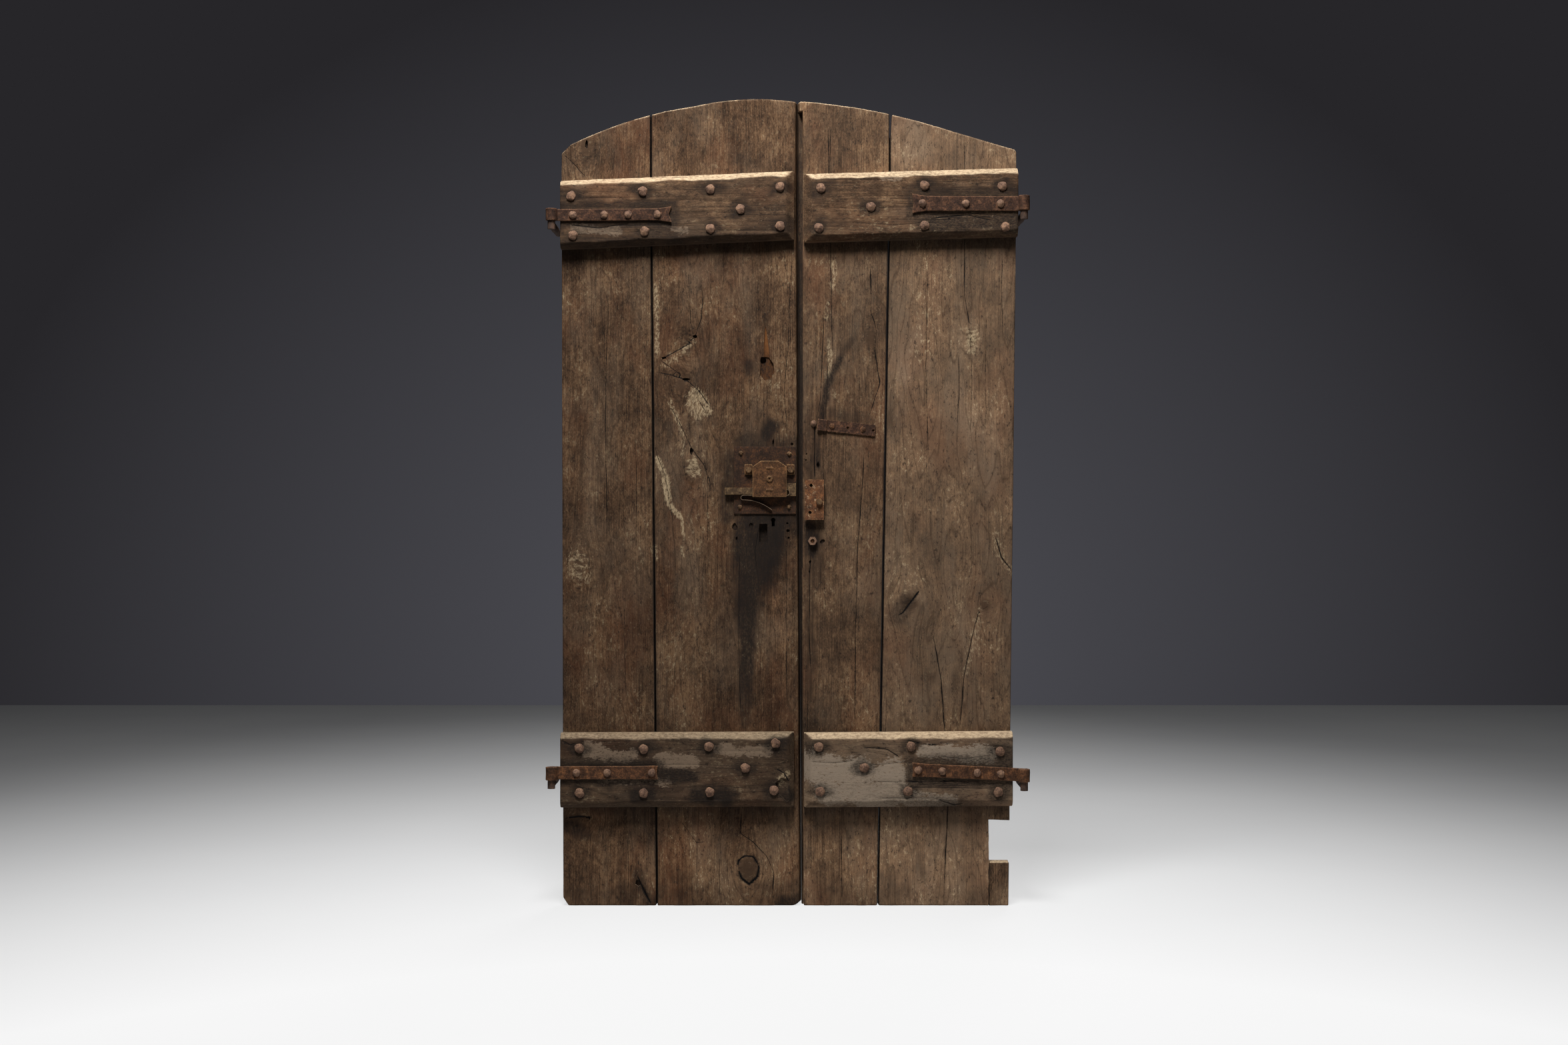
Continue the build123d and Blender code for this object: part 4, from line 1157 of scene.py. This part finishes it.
def tip_rust(points):
    """Rust round the nail tips behind."""
    x, y, z = points.T
    ragged = 1.0 + 0.6 * noise(points, tip_stain_ripple, tip_stain_seed, 3)
    level = np.zeros(len(points))
    for solid in (solid for node in tip_nodes for solid in solids_of(node)):
        tip = solid[solid[:, 1] > plank_rear + skin]
        if len(tip):
            away = np.hypot(x - tip[:, 0].mean(), (z - tip[:, 2].mean()) / tip_stain_tall) / ragged
            level = np.maximum(level, tip_stain * fade(0.3 * tip_stain_reach, tip_stain_reach, away))
    return level * (y > 0)


def plank_dirt_and_shade(points):
    """Dirt towards the foot, painted shade on the recessed tongue, a painted shadow under the battens, and
    rust round the nail tips behind.
    """
    x, y, z = points.T
    patch = 0.5 + 0.5 * noise(points, foot_dirt_ripple, foot_dirt_seed, 3)
    darkening = np.maximum(foot_dirt * patch * fade(0.0, foot_dirt_height, z), tip_rust(points))
    # Painted shade on the recessed tongue
    recessed = (np.abs(y - tongue_front) < tongue_shade_reach) & (x > tongue_span[0]) & (x < tongue_span[1])
    darkening = np.maximum(darkening, np.interp(z, tongue_shade_heights, tongue_shade_levels) * recessed)
    # Painted shadow on the planks under each batten
    for node in batten_seeds:
        low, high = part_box(node)
        below = np.interp(x, *batten_end_line(node, -1)) - z
        near = (below > -batten_shadow_reach) & (x > low[0]) & (x < high[0]) & (y < 0)
        shadow_level = batten_painted_shadow * fade(0.0, batten_shadow_reach * (0.6 + 0.8 * patch), below)
        darkening = np.maximum(darkening, shadow_level * near)
    return darkening


def batten_dark_marks(node):
    """Dark marks on a batten: black iron stains round its nails and strap, and a darker lower edge."""
    nails = solids_of(node + "_nails") + solids_of(node.replace("batten", "strap_nails"))
    places = [(solid[:, 0].mean(), solid[:, 2].mean()) for solid in nails]
    strap_low, strap_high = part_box(node.replace("batten", "strap"))
    batten_low, batten_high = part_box(node)

    def darkening(points):
        x, _, z = points.T
        ragged = 1.0 + 0.7 * noise(points, iron_stain_ripple, iron_stain_seed, 3)
        level = np.zeros(len(points))
        for nail_x, nail_z in places:
            away = np.hypot((x - nail_x) / nail_stain_wide, z - nail_z) / ragged
            level = np.maximum(level, nail_stain * fade(0.3 * nail_stain_reach, nail_stain_reach, away))
        beside_x = np.maximum(np.maximum(strap_low[0] - x, x - strap_high[0]), 0.0)
        beside_z = np.maximum(np.maximum(strap_low[2] - z, z - strap_high[2]), 0.0)
        beside = np.hypot(beside_x, beside_z) / ragged
        level = np.maximum(level, strap_stain * fade(0.2 * strap_stain_reach, strap_stain_reach, beside))
        lower = (z - batten_low[2]) / (batten_high[2] - batten_low[2])
        patch = 0.5 + 0.9 * noise(points, lower_edge_ripple, lower_edge_seed, 3)
        return np.maximum(level, lower_edge_dark * fade(*lower_edge_shares, lower) * patch)

    return darkening


def jointed(lines, closing):
    """A board's side lines at a joint: the front edges stand apart and the rear edges meet."""
    (front_heights, front), (rear_heights, rear) = lines
    opening = joint_opening * np.sign(closing) if abs(closing) >= joint_closing else 0.0
    return [(front_heights, front - opening), (rear_heights, rear + closing)]


def level_line(line, height):
    """An end line as wide as the given one, level at that height."""
    return line[0], np.full(len(line[0]), height)


def inner_right_shells(node, seed):
    """The right inner plank: its thick body, the thin tongue at its rear and the thick head above that."""
    left, right, foot, top = board_lines(node)
    right = jointed(right, joint_closing)
    shoulder = left[0][1].mean()
    head_low = top[1].max() - rebate_margin
    head_middle = head_low + rebate_margin / 2
    rear = plank_rear - skin
    tongue_ends = left[1][0][[0, -1]]
    tongue_right = [level_line(line, shoulder + shoulder_overlap) for line in left]
    tongue_left = [side_line(node, -1, depth, *tongue_ends) for depth in (tongue_front + skin, rear)]
    tongue_left[1] = (tongue_left[1][0], tongue_left[1][1] - meeting_closing)
    head_depths = (plank_front + skin, rear)
    head_left = [side_line(node, -1, depth, head_low + skin, head_middle) for depth in head_depths]
    tongue = (tongue_left, tongue_right, level_line(top, 0.0), level_line(top, head_low + skin))
    head = (head_left, tongue_right, level_line(top, head_low), top)
    return [
        board_shell([left[0], left[0]], right, foot, top, plank_front, plank_rear, seed, plank_steps),
        board_shell(*tongue, tongue_front, plank_rear, seed + 1, plank_steps, tongue_wear),
        board_shell(*head, plank_front, plank_rear, seed + 2, plank_steps),
    ]


def make_plank(node):
    """One worn plank in place of its plain solid."""
    seed = plank_seeds[node]
    if node == "right_inner_plank":
        points, quads = join_shells(inner_right_shells(node, seed))
        joints = [board_lines(node)[1][0]]
    else:
        low_share = notch_share if node == "right_outer_plank" else side_low_share
        left, right, foot, top = board_lines(node, low_share)
        left_closing, right_closing = joint_closings[node]
        sides = ((left, left_closing), (right, right_closing))
        joints = [line[0] for line, closing in sides if closing >= joint_closing]
        left = jointed(left, -left_closing)
        right = jointed(right, right_closing)
        level_foot = (foot[0], np.minimum(foot[1], foot_rise))
        points, quads = board_shell(left, right, level_foot, top, plank_front, plank_rear, seed, plank_steps)
    piece = new_mesh("worn_" + node, points, quads)
    cracks = plank_cracks(node, seed)
    roughen(piece, seed, cracks, plank_ripples)
    if node == "right_outer_plank":
        cut_lost_corner(piece)
    if node == "left_inner_plank":
        cut_keyhole_and_mortise(piece)
    if node in holes_px:
        cut_old_holes(piece, node)
    cut_losses(piece, node, plank_front)

    def darkening(points):
        return np.maximum(plank_dirt_and_shade(points), joint_dirt_and_shade(points, joints))

    dress_wood(piece, node, seed, "z", cracks, darkening)
    return piece


def make_batten(node, meeting_side):
    """One worn batten with chamfered long edges and a chamfered end beside the meeting line."""
    seed = batten_seeds[node]
    low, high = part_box(node)
    front, rear = low[1], high[1]
    middle = (low[2] + high[2]) / 2
    heights = (middle - batten_end_half, middle + batten_end_half)
    left = [side_line(node, -1, rear - skin, *heights)] * 2
    right = [side_line(node, 1, rear - skin, *heights)] * 2
    foot = batten_end_line(node, -1)
    top = batten_end_line(node, 1)
    points, quads = board_shell(left, right, foot, top, front, rear, seed, batten_steps)
    x, y, z = points.T
    along = points * np.array([1.0, 0.0, 0.0])
    uneven = chamfer_spread * noise(along, chamfer_ripple, seed + chamfer_seed, 4)
    edge = np.minimum(z - np.interp(x, *foot), np.interp(x, *top) - z)
    end = right[0][1].mean() - x if meeting_side > 0 else x - left[0][1].mean()
    slope = np.maximum(np.maximum(long_chamfer + uneven - edge, end_chamfer + uneven - end), 0.0)
    points[:, 1] = rear - (rear - y) * (1.0 - slope / (rear - front))
    piece = new_mesh("worn_" + node, points, quads)
    cracks = batten_cracks(node, seed)
    roughen(piece, seed, cracks, batten_ripples)
    cut_losses(piece, node, front)
    dress_wood(piece, node, seed, "x", cracks, batten_dark_marks(node))
    return piece


# Materials


def linear(levels):
    """A colour written as 0 to 255 levels, in the linear numbers that shaders take."""
    shares = [level / 255 for level in levels]
    return tuple(s / 12.92 if s <= 0.04045 else ((s + 0.055) / 1.055) ** 2.4 for s in shares) + (1.0,)


def set_input(tree, socket, value):
    """Links a node's input to another node's output, or sets it to a colour in levels or a plain value."""
    if isinstance(value, bpy.types.NodeSocket):
        tree.links.new(value, socket)
    elif socket.type == "RGBA" and len(value) == 3:
        socket.default_value = linear(value)
    else:
        socket.default_value = value


def add_node(tree, kind, inputs=(), **settings):
    """A shader node with its settings, and its inputs either set or linked."""
    made = tree.nodes.new(kind)
    for name, value in settings.items():
        setattr(made, name, value)
    for name, value in dict(inputs).items():
        set_input(tree, made.inputs[name], value)
    return made


def attribute(tree, name, output="Fac"):
    """A value kept on the vertices."""
    return add_node(tree, "ShaderNodeAttribute", attribute_name=name).outputs[output]


def sums(tree, operation, first, second=0.0, clamp=False):
    """One sum of two values."""
    inputs = {0: first, 1: second}
    return add_node(tree, "ShaderNodeMath", inputs, operation=operation, use_clamp=clamp).outputs[0]


def plus(tree, first, second, clamp=False):
    """Two values added."""
    return sums(tree, "ADD", first, second, clamp)


def times(tree, first, second):
    """Two values multiplied."""
    return sums(tree, "MULTIPLY", first, second)


def weighted(tree, *terms):
    """Several values added, each times its share."""
    total = 0.0
    for share, value in terms:
        total = plus(tree, total, times(tree, value, share))
    return total


def vector_sums(tree, operation, first, second=(0.0, 0.0, 0.0)):
    """One sum of two vectors."""
    return add_node(tree, "ShaderNodeVectorMath", {0: first, 1: second}, operation=operation).outputs


def mottle(tree, vector, scales, detail=4.0, roughness=0.6):
    """Noise along a vector, with so many ripples a metre along each axis."""
    place = vector_sums(tree, "MULTIPLY", vector, scales)[0]
    inputs = {"Vector": place, "Scale": 1.0, "Detail": detail, "Roughness": roughness}
    return add_node(tree, "ShaderNodeTexNoise", inputs).outputs[0]


def step_between(tree, value, span, shares=(0.0, 1.0)):
    """A value spread from one span to another, held at its ends."""
    low, high = span
    start, end = shares
    inputs = {"Value": value, "From Min": low, "From Max": high, "To Min": start, "To Max": end}
    return add_node(tree, "ShaderNodeMapRange", inputs).outputs[0]


def blend_colours(tree, share, first, second, way="MIX"):
    """One colour laid over another by a share."""
    inputs = {0: share, 6: first, 7: second}
    return add_node(tree, "ShaderNodeMix", inputs, data_type="RGBA", blend_type=way).outputs[2]


def lay(tree, colour, over, value, span, shares=(0.0, 1.0)):
    """One colour laid over another where a value is within a span, by the shares at the span's ends."""
    return blend_colours(tree, step_between(tree, value, span, shares), colour, over)


def ramp(tree, share, stops):
    """Colours along a share from 0 to 1."""
    made = add_node(tree, "ShaderNodeValToRGB", {"Fac": share})
    elements = made.color_ramp.elements
    while len(elements) < len(stops):
        elements.new(0.5)
    for element, (place, colour) in zip(elements, stops):
        element.position = place
        element.color = linear(colour)
    return made.outputs["Color"]


def start_material(name):
    """An empty node material with its output."""
    material = bpy.data.materials.new(name)
    material.use_nodes = True
    material.node_tree.nodes.clear()
    output = add_node(material.node_tree, "ShaderNodeOutputMaterial")
    return material, material.node_tree, output


def dry_surface(tree, output, colour, roughness, height, strength, depth):
    """A dry surface with that colour, roughness and relief."""
    relief = {"Height": height, "Strength": strength, "Distance": depth}
    bump = add_node(tree, "ShaderNodeBump", relief).outputs[0]
    inputs = {"Base Color": colour, "Roughness": roughness, "Normal": bump, "Specular IOR Level": dry_shine}
    shader = add_node(tree, "ShaderNodeBsdfPrincipled", inputs)
    tree.links.new(shader.outputs[0], output.inputs["Surface"])


def wood_colour(tree, noises):
    """Colour of the bare wood: clouds, mottles, specks, grain lines, red and grey areas, rings and flecks."""
    clouds = noises["clouds"]
    flecks = noises["flecks"]
    figure = weighted(
        tree,
        (0.33, clouds),
        (0.2, noises["mottles"]),
        (0.25, noises["specks"]),
        (0.22, noises["grain_lines"]),
    )
    colour = ramp(tree, figure, ((0.42, wood_deep), (0.5, wood_middle), (0.58, wood_light)))
    colour = lay(tree, colour, wood_red, noises["warmth"], (0.5, 0.68), (0.0, 0.38))
    weathered = step_between(tree, noises["weather"], (0.48, 0.66), (0.0, 0.4))
    colour = blend_colours(tree, plus(tree, weathered, attribute(tree, "grey"), True), colour, wood_grey)
    rings = sums(tree, "PINGPONG", times(tree, noises["rings"], 14.0), 0.5)
    colour = lay(tree, colour, wood_deep, rings, (0.0, 0.12), (0.45, 0.0))
    pale = step_between(tree, flecks, (0.56, 0.66), (0.0, 0.7))
    pale = times(tree, pale, step_between(tree, clouds, (0.48, 0.62)))
    colour = blend_colours(tree, pale, colour, bark_pale)
    colour = lay(tree, colour, dirt_and_shade_black, flecks, (0.33, 0.43), (0.75, 0.0))
    tone = attribute(tree, "tone")
    toned = add_node(tree, "ShaderNodeCombineColor", {0: tone, 1: tone, 2: tone}).outputs[0]
    return blend_colours(tree, 1.0, colour, toned, "MULTIPLY")


def dust_and_highlight_on_slopes(tree, crumbs):
    """How thick dust and a painted highlight lie: on upward slopes, in crumbs, less on dark, dirty and shaded
    wood.
    """
    normal = add_node(tree, "ShaderNodeNewGeometry").outputs["Normal"]
    upward = add_node(tree, "ShaderNodeSeparateXYZ", {0: normal}).outputs["Z"]
    dust_highlight_share = step_between(tree, upward, (0.3, 0.7))
    dust_highlight_share = times(tree, dust_highlight_share, step_between(tree, crumbs, (0.34, 0.6), (0.15, 0.9)))
    dust_highlight_share = times(tree, dust_highlight_share, step_between(tree, attribute(tree, "tone"), (0.55, 0.95), (0.5, 1.0)))
    return times(tree, dust_highlight_share, step_between(tree, attribute(tree, "dark"), (0.3, 0.9), (1.0, 0.1)))


def crack_lines(tree, specks):
    """The painted shade in each crack as a black line, and the dirty rim along it."""
    side = sums(tree, "ABSOLUTE", attribute(tree, "crack_side"))
    side = plus(tree, side, step_between(tree, specks, (0.3, 0.7), (-0.35, 0.35)))
    half = attribute(tree, "crack_half")
    line = sums(tree, "DIVIDE", sums(tree, "SUBTRACT", half, side), 0.4, clamp=True)
    rim = sums(tree, "SUBTRACT", times(tree, half, 3.0), side)
    rim = sums(tree, "DIVIDE", rim, 3.0, clamp=True)
    return line, times(tree, rim, 0.6)


def wood_material(name):
    """Old dry wood with its marks, bark, cracks and knots, painted shade among its dark marks, and dust with
    a painted highlight on upward slopes.
    """
    material, tree, output = start_material(name)
    grain = attribute(tree, "grain", "Vector")
    noises = {word: mottle(tree, grain, *settings) for word, settings in wood_noises.items()}
    specks = noises["specks"]
    crumbs = noises["crumbs"]
    colour = wood_colour(tree, noises)
    colour = lay(tree, colour, knot_brown, attribute(tree, "knot"), (0.02, 0.5), (0.0, 0.8))
    pale = plus(tree, attribute(tree, "pale"), step_between(tree, crumbs, (0.38, 0.62), (-0.75, 0.35)))
    colour = lay(tree, colour, bark_pale, pale, (0.2, 0.95), (0.0, 0.85))
    ragged = step_between(tree, specks, (0.35, 0.62), (-0.3, 0.2))
    warm = plus(tree, attribute(tree, "warm"), ragged)
    colour = lay(tree, colour, raw_wood, warm, (0.4, 0.9), (0.0, 0.85))
    flake = plus(tree, attribute(tree, "flake"), step_between(tree, crumbs, (0.35, 0.65), (-0.6, 0.25)))
    coating = lay(tree, flake_brown, flake_grey, attribute(tree, "grey"), (0.25, 0.5))
    colour = lay(tree, colour, coating, flake, (0.42, 0.6), (0.0, 0.72))
    # dark holds stains, dirt and painted shade
    dark = plus(tree, attribute(tree, "dark"), ragged)
    colour = lay(tree, colour, dirt_and_shade_black, dark, (0.1, 1.0), (0.0, 0.95))
    # Dust with a painted highlight on upward slopes
    colour = blend_colours(tree, dust_and_highlight_on_slopes(tree, crumbs), colour, dust_and_highlight_pale)
    # Cracks: a dirty rim, and painted shade as a black line in each
    line, rim = crack_lines(tree, specks)
    colour = blend_colours(tree, rim, colour, dirt_and_shade_black)
    colour = blend_colours(tree, line, colour, crack_shade_black)
    height = weighted(tree, (0.7, specks), (0.35, noises["grain_lines"]), (-1.5, line))
    height = plus(tree, height, times(tree, crumbs, plus(tree, attribute(tree, "pale"), 0.3)))
    roughness = step_between(tree, specks, (0.3, 0.7), (0.92, 0.72))
    dry_surface(tree, output, colour, roughness, height, 0.6, wood_bump)
    return material


def iron_material(name, dark, brown, bright, crust=None, edge=None):
    """Rusted iron: brown scale, brighter rust, dark pits and, where wanted, a pale crust or rubbed edges
    lightened as painted highlights.
    """
    material, tree, output = start_material(name)
    place = add_node(tree, "ShaderNodeTexCoord").outputs["Object"]
    noises = {word: mottle(tree, place, *settings) for word, settings in iron_noises.items()}
    scale = noises["scale"]
    pitted = noises["pits"]
    figure = weighted(tree, (0.5, noises["clouds"]), (0.5, scale))
    colour = ramp(tree, figure, ((0.36, dark), (0.5, brown), (0.64, bright)))
    colour = lay(tree, colour, dark, pitted, (0.36, 0.46), (0.6, 0.0))
    if crust:
        colour = lay(tree, colour, crust, noises["crust"], (0.56, 0.63), (0.0, 0.75))
    # Rubbed edges lightened, also as painted highlights
    if edge:
        sharp = add_node(tree, "ShaderNodeNewGeometry").outputs["Pointiness"]
        rubbed_and_highlit = times(tree, step_between(tree, sharp, (0.51, 0.6)), step_between(tree, scale, (0.3, 0.55)))
        colour = blend_colours(tree, rubbed_and_highlit, colour, edge)
    height = weighted(tree, (0.9, scale), (0.4, pitted))
    roughness = step_between(tree, scale, (0.3, 0.7), (0.62, 0.9))
    dry_surface(tree, output, colour, roughness, height, 0.7, iron_bump)
    return material


# Ironwork


def forged(node, voxel, uneven, seed):
    """A node's shape made over as worn forged iron: soft edges, an uneven skin and slight thinning."""
    piece = built_mesh("forged_" + node, welded(node))
    apply_modifier(piece, "REMESH", mode="VOXEL", voxel_size=voxel)
    points = points_of(piece)
    swell = forged_broad_share * noise(points, forged_broad_ripple, seed)
    swell += (1.0 - forged_broad_share) * noise(points, forged_fine_ripple, seed + forged_fine_seed)
    move_points(piece, points + normals_of(piece) * (uneven * (swell - forged_loss_share))[:, None])
    return piece


def nail_head(x, z, seat, radius, height, seed):
    """A hammered head: an uneven round dome cut by flat hammer faces, closed behind."""
    draw = np.random.default_rng(seed)
    flat = np.linspace(-1.0, 1.0, head_grid)
    points, quads = board_surface([flat, np.linspace(0.0, 1.0, head_layers), flat])
    u, v, w = points.T
    across = u * np.sqrt(1.0 - w**2 / 2)
    up = w * np.sqrt(1.0 - u**2 / 2)
    angle = np.arctan2(up, across)
    ragged = 1.0
    for waves in head_waves:
        wave_height = draw.uniform(*head_wave_heights)
        ragged = ragged + wave_height * np.sin(waves * angle + draw.uniform(0.0, 2.0 * math.pi))
    spread = np.hypot(across, up)
    crown = (1.0 - np.clip(spread, 0.0, 1.0) ** 2) ** head_crown_power
    rise = head_rim_share + (1.0 - head_rim_share) * crown
    for facet in range(head_facets):
        turn = 2.0 * math.pi * (facet + draw.uniform(-head_facet_turn, head_facet_turn)) / head_facets
        tilt = draw.uniform(*head_facet_tilts)
        top = draw.uniform(*head_facet_tops)
        out = np.maximum(across * math.cos(turn) + up * math.sin(turn) - head_facet_start, 0.0)
        rise = np.minimum(rise, top - tilt * out)
    rise = np.maximum(rise, head_least_share)
    reach = radius * ragged * (1.0 - head_undercut * (1.0 - v) * (spread > head_outermost))
    depth = seat + head_sink - (1.0 - v) * (rise * height + head_sink)
    return np.stack([x + reach * across, depth, z + reach * up], axis=1), quads[:, ::-1]


def clench(points, seed):
    """The nail's end behind the leaf: a flat tapered tip bent over onto the wood, where the solid has one."""
    tip = points[points[:, 1] > plank_rear + skin]
    if len(tip) == 0:
        return None
    low, high = tip.min(axis=0), tip.max(axis=0)
    draw = np.random.default_rng(seed)
    grid, quads = board_surface([np.linspace(0.0, 1.0, count) for count in tip_grid])
    u, v, w = grid.T
    u = 2.0 * u - 1.0
    axis = 0 if high[0] - low[0] > high[2] - low[2] else 2
    other = 2 - axis
    root = points[:, axis][points[:, 1] < plank_front].mean()
    start, end = sorted((low[axis], high[axis]), key=lambda place: abs(root - place))
    half = (high[other] - low[other]) / 2
    middle = (high[other] + low[other]) / 2 + draw.normal(0.0, tip_stray)
    rise = (high[1] - plank_rear) * (1.0 - tip_fall * w**2)
    places = np.zeros_like(grid)
    places[:, axis] = start + w * (end - start)
    places[:, other] = middle + u * half * (1.0 - tip_taper * w**tip_taper_power)
    places[:, 1] = plank_rear - head_sink + v * (rise + head_sink) * (1.0 - tip_crown * u**2)
    return places, quads


def make_nails(node, seed):
    """The nails of one node, each with a hammered head in front and a bent tip behind."""
    shells = []
    for number, points in enumerate(solids_of(node)):
        front = points[:, 1].min()
        head = points[points[:, 1] < front + head_slice]
        low, high = head.min(axis=0), head.max(axis=0)
        x, z = (low[0] + high[0]) / 2, (low[2] + high[2]) / 2
        wide = np.hypot(head[:, 0] - x, head[:, 2] - z)
        radius = wide.max()
        seat = head[wide > head_rim_reach * radius][:, 1].max()
        shells.append(nail_head(x, z, seat, radius, seat - front, seed + number))
        tip = clench(points, seed + number)
        if tip:
            shells.append(tip)
    piece = new_mesh("hammered_" + node, *join_shells(shells))
    shape = bmesh.new()
    shape.from_mesh(piece.data)
    bmesh.ops.recalc_face_normals(shape, faces=shape.faces)
    shape.to_mesh(piece.data)
    shape.free()
    return piece


# The pieces on their bodies


def smooth_shading(piece):
    """Shades the piece's faces as one soft surface with sharp corners."""
    piece.data.polygons.foreach_set("use_smooth", np.ones(len(piece.data.polygons), dtype=bool))
    piece.data.set_sharp_from_angle(angle=math.radians(sharp_corner_deg))
    piece.data.update()


def dress(mesh, material):
    """Gives a mesh one material."""
    mesh.materials.clear()
    mesh.materials.append(material)


def settle(piece, node, body, material):
    """Puts the piece on its body in place of its node, with its material."""
    dress(piece.data, material)
    smooth_shading(piece)
    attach(piece, body)
    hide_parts(node)


def make_pieces():
    """All the pieces of both leaves, and the looks of the solids that stay."""
    plank_wood = wood_material("plank_wood")
    batten_wood = wood_material("batten_wood")
    irons = {name: iron_material(name, *colours) for name, colours in iron_colours.items()}
    for node in plank_seeds:
        settle(make_plank(node), node, node.split("_")[0] + "_leaf", plank_wood)
    for node in batten_seeds:
        side_name = node.split("_")[0]
        batten = make_batten(node, 1 if side_name == "left" else -1)
        settle(batten, node, side_name + "_leaf", batten_wood)
    for node, (body, slot_name, look, voxel, uneven, seed) in forged_pieces.items():
        settle(forged(node, voxel, uneven, seed), node, body, irons[look])
    nail_nodes = sorted(name for name in nodes if name.endswith("nails") or name == "knob_nail")
    for number, node in enumerate(nail_nodes):
        body = "left_leaf" if node.startswith("left") else "right_leaf"
        look = "strap_iron" if node.startswith("hasp") else "nail_iron"
        settle(make_nails(node, nail_seed + nail_seed_step * number), node, body, irons[look])
    for node, look in kept_looks.items():
        dress(nodes[node].data, irons[look])
    for node in nodes:
        if node.endswith("pintle"):
            dress(nodes[node].data, irons["pintle_iron"])


# Floor, background, light and camera


def seen_rays(tree):
    """1 for rays from the camera and for mirrored or clear views, else 0."""
    path = add_node(tree, "ShaderNodeLightPath").outputs
    indirect = sums(tree, "MAXIMUM", path["Is Glossy Ray"], path["Is Transmission Ray"])
    return sums(tree, "MAXIMUM", path["Is Camera Ray"], indirect)


def make_floor():
    """A pale floor that ends where the photograph's wall begins, with a painted glow of light near the front
    for camera and mirrored rays.
    """
    half = floor_width / 2
    points = np.array([(x, y, 0.0) for y in (floor_front, floor_far) for x in (-half, half)])
    floor = new_mesh("floor", points, np.array([[0, 1, 3, 2]]))
    material, tree, output = start_material("floor")
    place = add_node(tree, "ShaderNodeTexCoord").outputs["Object"]
    colour = lay(tree, floor_pale, floor_dim, mottle(tree, place, floor_ripple), (0.3, 0.7))
    shader = add_node(tree, "ShaderNodeBsdfPrincipled", {"Base Color": colour, "Roughness": floor_roughness})
    glow = add_node(tree, "ShaderNodeEmission", {"Color": white, "Strength": 1.0})
    apart = add_node(tree, "ShaderNodeSeparateXYZ", {0: place}).outputs
    aside = sums(tree, "POWER", sums(tree, "ABSOLUTE", apart["X"]), 2.0)
    away = plus(tree, apart["Y"], times(tree, aside, floor_side_fall))
    # Painted glow of light on the floor, strongest near the front
    glow_level = sums(tree, "POWER", step_between(tree, away, floor_glow_span), floor_fall)
    glow_level = times(tree, times(tree, glow_level, floor_glow_share), seen_rays(tree))
    mixed = add_node(tree, "ShaderNodeMixShader", {0: glow_level, 1: shader.outputs[0], 2: glow.outputs[0]})
    tree.links.new(mixed.outputs[0], output.inputs["Surface"])
    floor.data.materials.append(material)


def make_world():
    """Soft fill light from all round, and a dark grey background behind the object with a painted glow
    straight ahead, just below the horizon.
    """
    world = bpy.data.worlds.new("studio")
    bpy.context.scene.world = world
    world.use_nodes = True
    tree = world.node_tree
    tree.nodes.clear()
    direction = add_node(tree, "ShaderNodeTexCoord").outputs["Generated"]
    offset = vector_sums(tree, "SUBTRACT", direction, wall_glow)[0]
    offset = vector_sums(tree, "MULTIPLY", offset, wall_glow_spread)[0]
    away = vector_sums(tree, "LENGTH", offset)["Value"]
    wall = lay(tree, wall_near, wall_far, away, (0.0, wall_glow_reach))
    fill = add_node(tree, "ShaderNodeBackground", {"Color": fill_colour, "Strength": fill_level})
    shown = add_node(tree, "ShaderNodeBackground", {"Color": wall, "Strength": 1.0})
    inputs = {0: seen_rays(tree), 1: fill.outputs[0], 2: shown.outputs[0]}
    mixed = add_node(tree, "ShaderNodeMixShader", inputs)
    output = add_node(tree, "ShaderNodeOutputWorld")
    tree.links.new(mixed.outputs[0], output.inputs["Surface"])


def turn_to(thing, place, aim):
    """Puts a lamp or camera at a place, turned towards its aim."""
    thing.location = place
    direction = np.array(aim) - np.array(place)
    level = math.hypot(direction[0], direction[1])
    thing.rotation_euler = (math.atan2(level, -direction[2]), 0.0, math.atan2(-direction[0], direction[1]))


def make_lamp(name, place, aim, size, spread_deg, power, glints):
    """A large soft lamp, with or without glints on the ironwork."""
    lamp = bpy.data.lights.new(name, "AREA")
    lamp.energy = power
    lamp.size = size
    lamp.spread = math.radians(spread_deg)
    holder = new_object(name, lamp)
    holder.visible_glossy = glints
    turn_to(holder, place, aim)


def make_camera():
    """The photograph's view, level and square to the door."""
    lens = bpy.data.cameras.new("camera")
    lens.lens = camera_lens
    lens.sensor_width = camera_sensor
    camera = new_object("camera", lens)
    turn_to(camera, camera_place, (camera_place[0], 0.0, camera_place[2]))
    bpy.context.scene.camera = camera


make_pieces()
make_floor()
make_world()
make_lamp("key", **key_lamp, glints=True)
make_lamp("back", **back_lamp, glints=False)
make_camera()
bpy.context.scene.view_settings.view_transform = "Standard"
